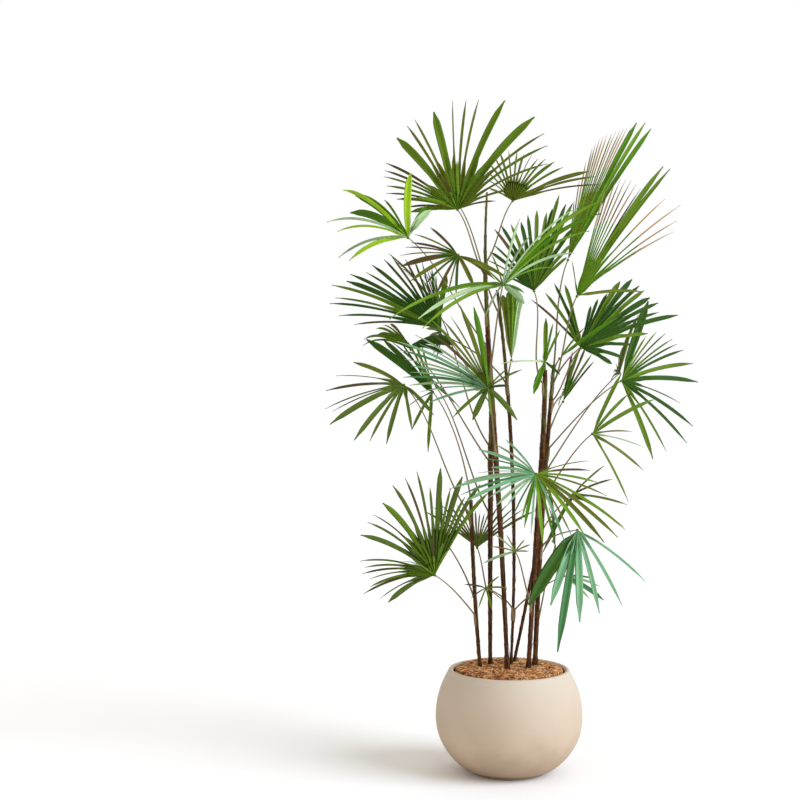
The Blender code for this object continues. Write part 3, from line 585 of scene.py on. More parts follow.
def husk(name, colour):
    """Coir and bark: streaks along each strand, and paler and darker patches from strand to strand."""
    made, tree, shader, place = new_material(name, specular=0.25)
    spot = place.outputs["Object"]
    patches = ramp(tree, noise(tree, spot, 70.0, 3.0), 0.3, 0.7)
    base = blend_colour(tree, patches, shade(colour, 0.55, 0.05), shade(colour, 1.30))
    streaks = noise(tree, stretch(tree, place.outputs["UV"], (40.0, 3.0, 1.0)), 1.0, 3.0)
    base = blend_colour(tree, ramp(tree, streaks, 0.4, 0.7, 0.0, 0.6), base, shade(colour, 0.35))
    rough = ramp(tree, patches, 0.0, 1.0, 0.80, 0.95)
    finish_material(tree, shader, base, rough, streaks, 0.0006, 0.5)
    return made


def bark(name, brown, green):
    """Cane bark: dark fibre drawn out along the cane, paler on the ridges by a painted highlight and at each
    sheath's upper edge by its own paler fibre, green where a sheath has worn off and near the young top of
    the cane."""
    made, tree, shader, place = new_material(name, specular=0.15)
    spot = place.outputs["Object"]
    relief = add_node(tree, "ShaderNodeAttribute", attribute_name="relief").outputs["Fac"]
    fibre = noise(tree, stretch(tree, spot, (1.0, 1.0, 0.04)), 420.0, 4.0, 0.7)
    base = blend_colour(tree, ramp(tree, fibre, 0.42, 0.62), shade(brown, 0.12), shade(brown, 1.2))
    # Painted highlight on the raised ridges of the fibre; near each sheath's upper edge the fibre is paler in
    # its own colour
    base = blend_colour(tree, ramp(tree, relief, 0.55, 1.0, 0.0, 0.50), base, shade(brown, 3.0))
    height = add_node(tree, "ShaderNodeSeparateXYZ", {0: spot}).outputs[2]
    young = ramp(tree, height, 0.62, 1.10, 0.0, 0.28)
    patch = noise(tree, stretch(tree, spot, (1.0, 1.0, 0.25)), 60.0, 3.0)
    bare = ramp(tree, combine(tree, "ADD", patch, young), 0.60, 0.72)
    base = blend_colour(tree, combine(tree, "MULTIPLY", bare, 0.8), base, green)
    rough = ramp(tree, fibre, 0.3, 0.7, 0.70, 0.92)
    finish_material(tree, shader, base, rough, fibre, 0.0008, 0.6)
    return made


def leaf(name, colour):
    """Leaf skin: fine veins along the blade, slow changes of green over the plant, and a satin gloss that
    is duller on the veins."""
    made, tree, shader, place = new_material(name, specular=0.12)
    spot = place.outputs["Object"]
    across = add_node(tree, "ShaderNodeSeparateXYZ", {0: place.outputs["UV"]}).outputs[0]
    vein = combine(tree, "SINE", combine(tree, "MULTIPLY", across, TAU * VEINS))
    slow = ramp(tree, noise(tree, spot, 9.0, 3.0), 0.3, 0.7)
    base = blend_colour(tree, slow, shade(colour, 0.78), shade(colour, 1.22, 0.04))
    base = blend_colour(tree, ramp(tree, vein, 0.55, 1.0, 0.0, 0.22), base, shade(colour, 1.7, 0.03))
    fleck = ramp(tree, noise(tree, spot, 240.0, 2.0), 0.60, 0.75, 0.0, 0.35)
    base = blend_colour(tree, fleck, base, shade(colour, 0.60, 0.05))
    rough = ramp(tree, vein, -1.0, 1.0, 0.45, 0.60)
    finish_material(tree, shader, base, rough, vein, 0.00025, 0.35)
    return made


def stalk(name, colour, warm):
    """Petiole skin: green with a brownish flush in long streaks."""
    made, tree, shader, place = new_material(name, specular=0.40)
    spot = place.outputs["Object"]
    flush = noise(tree, stretch(tree, spot, (1.0, 1.0, 0.2)), 50.0, 3.0)
    base = blend_colour(tree, ramp(tree, flush, 0.38, 0.62), colour, warm)
    grain = noise(tree, stretch(tree, place.outputs["UV"], (60.0, 6.0, 1.0)), 1.0, 2.0)
    base = blend_colour(tree, ramp(tree, grain, 0.4, 0.7, 0.0, 0.35), base, shade(warm, 0.5))
    rough = ramp(tree, flush, 0.3, 0.7, 0.45, 0.65)
    finish_material(tree, shader, base, rough, grain, 0.0003, 0.4)
    return made


# ---------------------------------------------------------------- settings

def colour_value(name, text, default):
    """A colour that a user may change."""
    return bpy.props.FloatVectorProperty(
        name=name, description=text, default=default, size=4, min=0.0, max=1.0, subtype="COLOR")


def length_value(name, text, default):
    """A length that a user may change."""
    return bpy.props.FloatProperty(
        name=name, description=text, default=default, min=0.0, unit="LENGTH", subtype="DISTANCE")


def count_value(name, text, default, most):
    """A number of pieces that a user may change."""
    return bpy.props.IntProperty(name=name, description=text, default=default, min=0, max=most)


def share_value(name, text, default):
    """A share of another measure that a user may change."""
    return bpy.props.FloatProperty(
        name=name, description=text, default=default, min=0.0, max=1.5, subtype="FACTOR")


def angle_value(name, text, default):
    """An angle that a user may change, given in degrees."""
    return bpy.props.FloatProperty(
        name=name, description=text, default=math.radians(default), subtype="ANGLE")


class PotSettings(bpy.types.PropertyGroup):
    height: length_value("Height", "Height of the rim above the floor", POT_HIGH.z)
    belly_radius: length_value("Belly radius", "Radius of the bowl where it is widest", POT_HIGH.x)
    belly_height: length_value("Belly height", "Height at which the bowl is widest", 0.128)
    foot_radius: length_value("Foot radius", "Radius of the low foot", 0.0855)
    foot_height: length_value("Foot height", "Height of the low foot", 0.008)
    wall: length_value("Wall", "Thickness of the wall", 0.0115)
    colour: colour_value("Stoneware", "Colour of the stoneware", (0.505, 0.390, 0.285, 1.0))


class MulchSettings(bpy.types.PropertyGroup):
    radius: length_value("Radius", "Radius of the bed at the rim", 0.1240)
    relief: length_value("Relief", "How far the bed rises and falls", 0.0016)
    strand_count: count_value("Strands", "How many coir strands lie on the bed", 3600, 6000)
    chip_count: count_value("Chips", "How many chips of bark lie on the bed", 900, 3000)
    pale: colour_value("Pale coir", "Colour of the palest strands", (0.90, 0.54, 0.27, 1.0))
    warm: colour_value("Warm coir", "Colour of most strands", (0.66, 0.27, 0.085, 1.0))
    dark: colour_value("Bark", "Colour of the bark chips", (0.20, 0.075, 0.022, 1.0))


class CaneSettings(bpy.types.PropertyGroup):
    sheath_length: length_value("Sheath", "Mean length of a leaf sheath on a cane", 0.030)
    flare: length_value("Flare", "How far a sheath stands out at its upper edge", 0.0007)
    fibre_depth: length_value("Fibre depth", "Height of the fibres that wrap a cane", 0.0003)
    hair_count: count_value("Hairs", "Loose fibres at the upper edge of each sheath", 5, 30)
    brown: colour_value("Fibre", "Colour of the fibre", (0.110, 0.040, 0.012, 1.0))
    green: colour_value("Cane", "Colour of the bare cane", (0.085, 0.095, 0.014, 1.0))


class FrondSettings(bpy.types.PropertyGroup):
    thickness: length_value("Thickness", "Thickness of a leaflet", 0.0005)
    palm_fold: share_value("Palm fold", "Depth of a fold near the hub as a share of its half width", 1.10)
    blade_fold: share_value("Blade fold", "Depth of a leaflet's fold as a share of its half width", 0.34)
    mid: colour_value("Mid green", "Colour of most leaflets", (0.100, 0.185, 0.009, 1.0))
    dark: colour_value("Dark green", "Colour of the shaded leaflets", (0.030, 0.088, 0.007, 1.0))
    bright: colour_value("Bright green", "Colour of the youngest leaflets", (0.32, 0.55, 0.020, 1.0))
    spring: colour_value("Spring green", "Colour of the young leaflets", (0.150, 0.30, 0.020, 1.0))
    fresh: colour_value("Fresh green", "Colour of the broad new leaflets", (0.070, 0.190, 0.005, 1.0))
    # Blue green is partly the leaflets' own grey-green and partly a painted reflection of the light on their
    # gloss; teal below is the same with painted shade
    blue: colour_value("Blue green", "Colour of the glaucous leaflets", (0.165, 0.36, 0.19, 1.0))
    # Pale green is partly the leaflets' own pale green and partly a painted highlight that stands in for
    # glints of light on them
    pale: colour_value("Pale green", "Colour of the pale leaflets", (0.40, 0.58, 0.32, 1.0))
    mist: colour_value("Mist", "Colour of the greyish pale leaflets", (0.24, 0.36, 0.19, 1.0))
    teal: colour_value("Teal", "Colour of the shaded glaucous leaflets", (0.060, 0.190, 0.065, 1.0))
    olive: colour_value("Olive", "Colour of the olive leaflets", (0.120, 0.150, 0.014, 1.0))
    sage: colour_value("Sage", "Colour of the dull green leaflets", (0.088, 0.145, 0.018, 1.0))
    brown: colour_value("Brown", "Colour of the thin brownish leaflets", (0.088, 0.062, 0.018, 1.0))
    straw: colour_value("Straw", "Colour of the dry threadlike leaflets", (0.36, 0.23, 0.11, 1.0))
    stalk: colour_value("Stalk", "Colour of the petioles", (0.130, 0.140, 0.038, 1.0))
    stalk_flush: colour_value("Stalk flush", "Colour of the flush on the petioles", (0.28, 0.165, 0.085, 1.0))


class StageSettings(bpy.types.PropertyGroup):
    floor: colour_value("Floor", "Colour of the floor", (0.94, 0.94, 0.95, 1.0))
    camera_distance: length_value("Camera distance", "How far in front of the pot the camera stands", 4.0)
    camera_height: length_value("Camera height", "Height of the camera above the floor", 1.05)
    camera_yaw: angle_value("Yaw", "Turn of the camera to its left", 3.62)
    camera_pitch: angle_value("Pitch", "Tilt of the camera, below 0 when it looks down", -2.70)
    lens: bpy.props.FloatProperty(
        name="Lens", description="Focal length on a sensor 36 mm wide",
        default=78.255, min=1.0, unit="CAMERA")
    key: bpy.props.FloatProperty(
        name="Key", description="Strength of the broad far key light", default=2.9, min=0.0)
    fill: bpy.props.FloatProperty(
        name="Fill", description="Power of each fill light", default=8.0, min=0.0, unit="POWER")


# ---------------------------------------------------------------- pot and mulch

# Half heights of the ellipses above and below the belly, the rounding of the foot, where the bowl leaves the
# foot, the first radius beside the axis, the height of the floor inside, and that of its corner
BOWL_ABOVE = 0.1890
BOWL_BELOW = 0.1484
FOOT_ROUNDING = 0.003
BOWL_START = 0.0035
AXIS_RADIUS = 0.004
INNER_FLOOR = 0.018
INNER_CORNER = 0.030


def bowl_radius(pot, height):
    """Outer radius of the bowl at a height: the belly radius times the square root of 1 minus the squared
    share of the way from the belly to the end of the half ellipse above or below it."""
    rise = height - pot.belly_height
    semi = np.where(rise > 0, BOWL_ABOVE, BOWL_BELOW)
    return pot.belly_radius * np.sqrt(np.maximum(1.0 - (rise / semi) ** 2, 0.0))


def pot_profile(pot):
    """Radii and heights from the underside up the outside, over the rounded lip and down the inside to the
    floor. The lip is a half circle across the wall, and small quarter circles round the foot."""
    foot, top, turn = pot.foot_radius, pot.height, FOOT_ROUNDING
    quarter = np.linspace(0.0, math.pi / 2, 7)
    rows = [(np.linspace(AXIS_RADIUS, foot - turn, 8), np.zeros(8))]
    rows.append((foot - turn + turn * np.sin(quarter), turn - turn * np.cos(quarter)))
    start = pot.foot_height + BOWL_START
    rise = np.linspace(0.0, 1.0, 6)[1:]
    rows.append((foot + (bowl_radius(pot, start) - foot) * rise ** 2, turn + (start - turn) * np.sqrt(rise)))
    lip = pot.wall / 2
    heights = np.linspace(start + 0.001, top - lip, 60)
    rows.append((bowl_radius(pot, heights), heights))
    half = np.linspace(0.0, math.pi, 13)[1:-1]
    centre = bowl_radius(pot, top - lip) - lip
    rows.append((centre + lip * np.cos(half), top - lip + lip * np.sin(half)))
    heights = np.linspace(top - lip, INNER_CORNER, 30)
    rows.append((bowl_radius(pot, heights) - pot.wall, heights))
    rows.append((np.linspace(foot - 0.004, AXIS_RADIUS, 8), np.full(8, INNER_FLOOR)))
    return np.concatenate([row[0] for row in rows]), np.concatenate([row[1] for row in rows])


def lathe(radii, heights, sides, wobble=0.0, seed=0):
    """Spins a profile about the vertical: each point is (r cos a, r sin a, h), and a slow ripple makes the
    radius a little uneven, as a cast shell is. The poles close both ends."""
    round_way = plan_way(angles_round(sides))
    radius = np.repeat(radii[:, None], sides, 1)
    level = np.repeat(heights[:, None, None], sides, 1)
    if wobble:
        spots = np.concatenate([radius[..., None] * round_way, level], -1)
        radius = radius + wobble * ripple(spots, 0.12, seed) * smooth(0.01, 0.05, heights)[:, None]
    return np.concatenate([radius[..., None] * round_way, level], -1)[None]


# How far the bed falls towards the wall and from which radius to which, how far its mean level stays under
# the solid's top, and the radii and heights of its hidden underside
BED_FALL = 0.0035
BED_FALL_RADII = (0.090, 0.126)
BED_CLEARANCE = 0.0005
BED_UNDER_RADII = (0.010, 0.080, 0.118, 0.122, 0.125)
BED_UNDER_HEIGHTS = (0.190, 0.190, 0.192, 0.200, 0.220)


def bed_height(mulch, spots):
    """Height of the mulch at plan points: level in the middle, falling by a smooth step to the wall, with
    ripples."""
    out = np.linalg.norm(spots, axis=-1)
    fall = BED_FALL * smooth(*BED_FALL_RADII, out)
    bumps = ripple(spots, 0.030, 5) * 0.6 + ripple(spots, 0.011, 6) * 0.4
    return MULCH_HIGH.z - BED_CLEARANCE - fall + mulch.relief * bumps


class PALM_OT_pot(bpy.types.Operator):
    """Turn the pot"""
    bl_idname = "palm.pot"
    bl_label = "Pot"

    def execute(self, context):
        pot = context.scene.palm_pot
        radii, heights = pot_profile(pot)
        rings = lathe(radii, heights, 192, wobble=0.0003, seed=11)
        add_piece("bowl_pot", tubes([rings]), stoneware("stoneware", pot.colour), ["pot"])
        return {"FINISHED"}


class PALM_OT_mulch(bpy.types.Operator):
    """Lay the bed of coir and bark in the pot"""
    bl_idname = "palm.mulch"
    bl_label = "Mulch"

    def execute(self, context):
        mulch = context.scene.palm_mulch
        radii = np.concatenate([BED_UNDER_RADII, np.linspace(0.002, mulch.radius, 64)[::-1]])
        rings = lathe(radii, np.zeros(len(radii)), 150)[0]
        under = len(BED_UNDER_RADII)
        rings[under:, :, 2] = bed_height(mulch, rings[under:, :, :2])
        rings[:under, :, 2] = np.array(BED_UNDER_HEIGHTS)[:, None]
        dark = husk("bark_chips", mulch.dark)
        warm = husk("coir_warm", mulch.warm)
        pale = husk("coir_pale", mulch.pale)
        add_piece("mulch_bed", tubes([rings[None]]), warm, ["mulch"])
        strand = (mulch.strand_count, (0.010, 0.034), (0.0004, 0.0009), 1.6, 0.005)
        chip = (mulch.chip_count, (0.005, 0.013), (0.0006, 0.0012), 2.8, 0.0015)
        layers = (
            ("coir_pale_strands", pale, strand, 0.40, 21), ("coir_warm_strands", warm, strand, 0.42, 22),
            ("coir_dark_strands", dark, strand, 0.18, 23), ("bark_dark_chips", dark, chip, 0.35, 31),
            ("bark_warm_chips", warm, chip, 0.65, 32),
        )
        for name, material, (count, *form), share, seed in layers:
            rings = scatter(mulch, int(count * share), seed, *form)
            add_piece(name, tubes([rings]), material, ["mulch"])
        return {"FINISHED"}


def scatter(mulch, count, seed, lengths, thicks, flatness, rise):
    """Strands dealt evenly over the bed: each lies along a random bearing from one point of the surface to
    another, arched by up to rise and never past the wall."""
    dice = np.random.default_rng(seed)
    out = (mulch.radius - 0.003) * np.sqrt(dice.uniform(0.0, 1.0, count))
    bearing = dice.uniform(0.0, TAU, count)
    middle = out[:, None] * plan_way(bearing)
    heading = dice.uniform(0.0, TAU, count)
    half = 0.5 * dice.uniform(*lengths, count)[:, None] * plan_way(heading)
    ends = []
    for sign in (-1.0, 1.0):
        plan = middle + sign * half
        reach = np.linalg.norm(plan, axis=-1, keepdims=True)
        plan = plan * np.minimum(1.0, (mulch.radius - 0.001) / np.maximum(reach, 1e-6))
        height = bed_height(mulch, plan) + dice.uniform(-0.001, 0.0022, count)
        ends.append(np.concatenate([plan, height[:, None]], -1))
    lift = np.concatenate([dice.normal(0.0, 0.0022, (count, 2)), dice.uniform(0.0004, rise, (count, 1))], -1)
    thick = dice.uniform(*thicks, count)
    return strands(ends[0], ends[1], lift, thick, thick * flatness, 5, 4)


# ---------------------------------------------------------------- canes

# The flare of a cane's foot and the share of its length that it takes, the slant of a sheath's edge, the
# height in which its fibres wind by a radian, how far the skin starts inside the cane's radius, and how deep
# it is set
FOOT_FLARE = 0.45
FOOT_SHARE = 0.035
EDGE_SLANT = 0.0045
FIBRE_RISE = 0.045
SKIN_INSET = 0.0009
SKIN_BURIED = 0.006


def cane_length(cane):
    """Height of a cane from its flat foot to its tip."""
    return cane["tip"][2] - CANE_FOOT_HEIGHT


def cane_line(cane, share):
    """Centre of a cane at shares s of its length: a straight line from foot to tip, plus the bow times s
    to the power late times 1 - s, scaled to 1 where it is greatest."""
    foot = np.array((*cane["foot"], CANE_FOOT_HEIGHT))
    tip = np.array(cane["tip"])
    bow = np.array((*cane["bow"], 0.0))
    share = np.asarray(share, float)[..., None]
    late = cane.get("late", 1)
    scale = (1 + late) ** (1 + late) / late ** late
    return foot + (tip - foot) * share + bow * scale * share ** late * (1.0 - share)


def cane_radius(cane, share):
    """Radius of a cane: a polyline through its three radii, which flares over the lowest part."""
    radius = np.interp(share, (0.0, THICKEST_SHARE, 1.0), cane["radii"])
    return radius * (1.0 + FOOT_FLARE * np.maximum(0.0, 1.0 - share / FOOT_SHARE))


def sheath_edges(settings, name, length):
    """Heights of the sheaths' upper edges along a cane, and the side that each edge leans to, dealt by its
    name."""
    dice = random.Random(name)
    edges, sides = [0.0], [0.0]
    while edges[-1] < length:
        edges.append(edges[-1] + settings.sheath_length * dice.uniform(0.65, 1.35))
        sides.append(dice.uniform(0.0, TAU))
    return np.array(edges), np.array(sides)


def cane_skin(settings, name, cane, columns=36, pitch=0.0024):
    """Rings of a cane and its relief from 0 to 1. Within a sheath the radius grows with the cube of the
    share of the way to its slanted upper edge, where it drops back. Two sets of ridges wind against each
    other like the fibres of the sheath: each is the absolute value of a sine in the angle and the height."""
    length = cane_length(cane)
    rows = int(length / pitch)
    share = np.linspace(0.0, 1.0, rows)
    angle = angles_round(columns)
    edges, sides = sheath_edges(settings, name, length)
    height = np.repeat(share[:, None] * length, columns, 1)
    index = np.clip(np.searchsorted(edges, height[:, 0], side="right") - 1, 0, len(edges) - 2)
    slanted = height + EDGE_SLANT * np.cos(angle[None] - sides[index][:, None])
    index = np.searchsorted(edges, slanted.ravel(), side="right").reshape(slanted.shape)
    index = np.clip(index - 1, 0, len(edges) - 2)
    within = np.clip((slanted - edges[index]) / (edges[index + 1] - edges[index]), 0.0, 1.0)
    turn = height / FIBRE_RISE
    ridges = np.abs(np.sin(6 * angle[None] + 3.1 * turn)) + np.abs(np.sin(5 * angle[None] - 2.7 * turn + 1.0))
    relief = np.clip(0.5 * ridges + 0.25 * np.sin(17 * angle[None] + 0.9 * turn + 3.0 * within), 0.0, 1.0)
    radius = cane_radius(cane, share)[:, None] - SKIN_INSET
    radius = radius + settings.flare * within ** 3 + settings.fibre_depth * (relief - 0.4)
    tangent = unit(np.gradient(cane_line(cane, share), axis=0))
    across = unit(np.cross(UP, np.array((0.0, -1.0, 0.0))))
    over = unit(np.cross(tangent, across))
    across = np.cross(over, tangent)
    points = cane_line(cane, share)[:, None] + section(across, over, angle) * radius[..., None]
    points[0, :, 2] -= SKIN_BURIED
    # The relief handed back marks where the bark is drawn paler: a painted highlight on the ridges, and the
    # paler fibre at each sheath's upper edge
    return points, np.clip(0.55 * relief + 0.5 * within ** 4, 0.0, 1.0)


def sheath_hairs(settings, name, cane):
    """Loose fibres: each starts on the bark at a sheath's upper edge, and runs up the cane and a little
    outwards."""
    dice = np.random.default_rng(sum(map(ord, name)))
    length = cane_length(cane)
    edges = np.repeat(sheath_edges(settings, name, length)[0][1:-1], settings.hair_count)
    count = len(edges)
    share = np.clip((edges + dice.uniform(-0.006, 0.002, count)) / length, 0.0, 0.99)
    angle = dice.uniform(0.0, TAU, count)
    out = np.stack([np.cos(angle), np.sin(angle), np.zeros(count)], -1)
    aside = np.stack([-np.sin(angle), np.cos(angle), np.zeros(count)], -1)
    start = cane_line(cane, share) + out * (cane_radius(cane, share) - 0.0003)[:, None]
    run = dice.uniform(0.006, 0.022, count)[:, None]
    away, swing = dice.uniform(0.0, 0.0018, count)[:, None], dice.normal(0, 0.0015, count)[:, None]
    end = start + UP * run + out * away + aside * swing
    away, swing = dice.uniform(-0.0003, 0.0006, count)[:, None], dice.normal(0, 0.0006, count)[:, None]
    lift = out * away + aside * swing
    thick = dice.uniform(0.00018, 0.00038, count)
    return strands(start, end, lift, thick, thick, 5, 3, taper=0.7)


class PALM_OT_canes(bpy.types.Operator):
    """Wrap each cane in its fibrous sheaths"""
    bl_idname = "palm.canes"
    bl_label = "Canes"

    def execute(self, context):
        settings = context.scene.palm_canes
        skin = bark("cane_bark", settings.brown, settings.green)
        hairs = []
        for name, cane in CANES.items():
            points, relief = cane_skin(settings, name, cane)
            values = np.concatenate([relief.ravel(), relief[(0, -1),].mean(1)])
            add_piece(name + "_bark", tubes([points[None]]), skin, [name], values)
            hairs.append(sheath_hairs(settings, name, cane))
        fibre = husk("sheath_fibre", shade(settings.brown, 1.6))
        add_piece("sheath_hairs", tubes(hairs), fibre, list(CANES))
        return {"FINISHED"}


# ---------------------------------------------------------------- fronds

def frond_frame(frond):
    """Right and away directions of a frond's elevation, and the way its blade faces, upwards."""
    turn = math.radians(frond.get("turn", 0.0))
    right = np.array((math.cos(turn), math.sin(turn), 0.0))
    away = np.array((-math.sin(turn), math.cos(turn), 0.0))
    lean_x, lean_z = frond["lean"]
    facing = unit(right * lean_x - away + UP * lean_z)
    return right, away, facing if facing[2] >= 0.0 else -facing


def blades_of(frond):
    """The blade of a frond, and the shorter one in front of it where it has one."""
    return [frond] + ([{**frond, **frond["inner"]}] if "inner" in frond else [])


def frond_leaflets(frond):
    """Ways from the hub to the tips, widths, rolls, and tints of palm and blade of a frond's leaflets, in
    order round the hub. Each fan of the solid is carried to more leaflets, whose bearings have a small
    error; a short leaflet is narrower, and a dry one starts from a green palm."""
    dice = random.Random(frond["seed"])
    right, away, facing = frond_frame(frond)
    lean_x, lean_z = frond["lean"]
    dealt = frond["tints"].split()
    found = []
    for bearings, kinds, reaches, *own in frond["fans"]:
        own = own[0].split() if own else []
        kinds = kinds if isinstance(kinds, str) else "".join(dice.choices("bmn", (3, 4, 4), k=kinds))
        bearings, reaches = polyline(bearings, len(kinds)), polyline(reaches, len(kinds))
        step = abs(bearings[-1] - bearings[0]) / max(1, len(kinds) - 1)
        for i, (bearing, kind, reach) in enumerate(zip(bearings, kinds, reaches)):
            bearing = math.radians(bearing + min(step, 12.0) * dice.uniform(-0.12, 0.12))
            across, rise = math.cos(bearing), math.sin(bearing)
            way = (right * across + UP * rise + away * (lean_x * across + lean_z * rise)) * reach * 0.01
            broad, roll = KINDS[kind]
            width = broad * 0.001 * dice.uniform(0.90, 1.10)
            width = width * min(1.0, LEAST_WIDTH + reach / WIDTH_REACH)
            blade = own[i % len(own)] if own else dice.choice(dealt + ["brown"] * (kind == "n"))
            palm = dealt[i % len(dealt)] if blade in ("brown", "straw") else blade
            found.append((way, width, dice.uniform(-roll, roll), palm, blade))
    ways = np.array([leaflet[0] for leaflet in found])
    if len(found) > 1 and (np.cross(ways[:-1], ways[1:]) @ facing).sum() > 0:
        found.reverse()
    ways, widths, rolls, palms, blades = (np.array(column) for column in zip(*found))
    return ways, widths, rolls, (palms, blades), facing


def valley_radii(frond, ways, widths):
    """How far from the hub neighbouring leaflets part: where the spread between them is a little more than
    their mean width, but at most the frond's palm share of the shorter one, and near the hub where they
    stand wide apart. The outer leaflets repeat their neighbour's."""
    lengths = np.linalg.norm(ways, axis=-1)
    if len(ways) == 1:
        return np.full(2, lengths[0] * 0.2)
    spread = np.arccos(np.clip((unit(ways[:-1]) * unit(ways[1:])).sum(-1), -1.0, 1.0))
    shorter = np.minimum(lengths[:-1], lengths[1:])
    broad = np.maximum(widths, NARROWEST)
    natural = PARTING_SPREAD * 0.5 * (broad[:-1] + broad[1:]) / np.maximum(spread, 0.01)
    radii = np.clip(natural, LEAST_PALM * shorter, frond.get("palm", PALM_SHARE) * shorter)
    radii = np.where(spread < WIDEST_WEB, radii, LEAST_PALM * shorter)
    return np.concatenate([radii[:1], radii, radii[-1:]])


def leaflet_rings(frond, settings):
    """Closed pleated leaflets of a frond in two lengths, from the hub to a little beyond the valleys and from
    there to the tips, each as (leaflets, stations, ring, 3), and the tints of each length.

    A midrib runs as a parabola from the hub to the tip. Up to the valley each margin lies on the seam,
    halfway to the neighbour's midrib at the same radius; beyond it the margin moves over to the leaflet's
    own half width, which swells along the blade and narrows to a small toothed tip. The section is a
    shallow V with a pleat in each half, and beyond the valley it rolls about the midrib. Where the two
    lengths meet, each is closed along its own section by a last ring drawn in to the midrib, so that
    nothing spans the hollow of the V."""
    ways, widths, rolls, tints, facing = frond_leaflets(frond)
    count = len(ways)
    lengths = np.linalg.norm(ways, axis=-1)
    radii = valley_radii(frond, ways, widths)
    parting = (np.maximum(radii[:-1], radii[1:]) / lengths)[:, None]
    near = np.linspace(0.0, 1.0, PALM_STATIONS)[None] * (parting - 0.01) + 0.01
    far = np.concatenate([np.linspace(0.0, 0.80, BLADE_STATIONS - 4), (0.88, 0.94, 0.98, 1.0)])[None]
    t = np.concatenate([near, parting + (1.0 - parting) * far], 1)
    lifts = unit(UP * 0.7 + facing * 0.5) * (lengths * frond.get("arch", LEAFLET_ARCH))[:, None]

    def midrib(which, share):
        """Points of some leaflets' midribs: the way to the tip times the share, and a parabola's rise."""
        share = share[..., None]
        return ways[which][:, None] * share + lifts[which][:, None] * 4.0 * share * (1.0 - share)

    everyone = np.arange(count)
    mid = midrib(everyone, t)
    tangent = unit(ways[:, None] + lifts[:, None] * 4.0 * (1.0 - 2.0 * t)[..., None])
    flat = np.cross(unit(ways), facing)[:, None]
    level = unit(flat - tangent * (flat * tangent).sum(-1, keepdims=True))
    normal = np.cross(level, tangent)
    roll = (rolls[:, None] * smooth(parting, parting + 0.25, t))[..., None]
    across = level * np.cos(roll) + normal * np.sin(roll)
    over = normal * np.cos(roll) - level * np.sin(roll)
    beyond = np.clip((t - parting) / (1.0 - parting), 0.0, 1.0)
    half = 0.5 * widths[:, None] * (0.74 + 0.26 * np.sin(math.pi * beyond))
    half = half * (1.0 - 0.70 * smooth(0.76, 1.0, beyond))

    margins = []
    for sign, valley in ((-1, radii[:-1]), (1, radii[1:])):
        neighbour = everyone + sign
        inside = (neighbour >= 0) & (neighbour < count)
        safe = np.clip(neighbour, 0, count - 1)
        share = np.minimum(t * lengths[:, None] / lengths[safe][:, None], 1.0)
        seam = 0.5 * (midrib(safe, share) - mid)
        own = sign * across * half[..., None]
        outer = own * smooth(0.0, 0.25, t)[..., None]
        seam = np.where(inside[:, None, None], seam, outer)
        start = (valley / lengths)[:, None]
        apart = smooth(start, start + 0.13, t)[..., None]
        margins.append(seam * (1.0 - apart) + own * apart)
    left, right = margins
    size = 0.5 * (np.linalg.norm(left, axis=-1) + np.linalg.norm(right, axis=-1))

    spread = np.array((-1.0, -0.68, -0.34, 0.0, 0.34, 0.68, 1.0))
    pleat = np.array((0.0, 0.16, -0.02, 0.0, -0.02, 0.16, 0.0))
    leftward, rightward = left[:, :, None] * -spread[:, None], right[:, :, None] * spread[:, None]
    side = np.where(spread[:, None] < 0, leftward, rightward)
    eased = smooth(parting, parting + 0.2, t)
    depth = settings.palm_fold + (settings.blade_fold - settings.palm_fold) * eased
    fold = depth[..., None] * (1.0 - np.abs(spread)) - pleat
    top = mid[:, :, None] + side - over[:, :, None] * (size[..., None] * fold)[..., None]
    tooth = np.array((0.030, 0.0, 0.022, 0.0, 0.030, 0.0, 0.022))
    top[:, -1] -= ways[:, None] * tooth[:, None] * 0.6
    under = top[:, :, 5:0:-1] - over[:, :, None] * settings.thickness
    rings = np.concatenate([top, under], 2) + np.array(frond["hub"])
    split = PALM_STATIONS + frond.get("green", 2)
    cut = rings[:, split:split + 1]
    before, after = (cut + (rings[:, i:i + 1] - cut) * GUARD_SHARE for i in (split - 1, split + 1))
    spine = cut[:, :, MIDRIB_POINTS].mean(2, keepdims=True)
    seal = spine + (cut - spine) * SEAL_SHARE
    inner = np.concatenate([rings[:, :split], before, cut, seal], 1)
    outer = np.concatenate([seal, cut, after, rings[:, split + 1:]], 1)
    return (inner, outer), tints


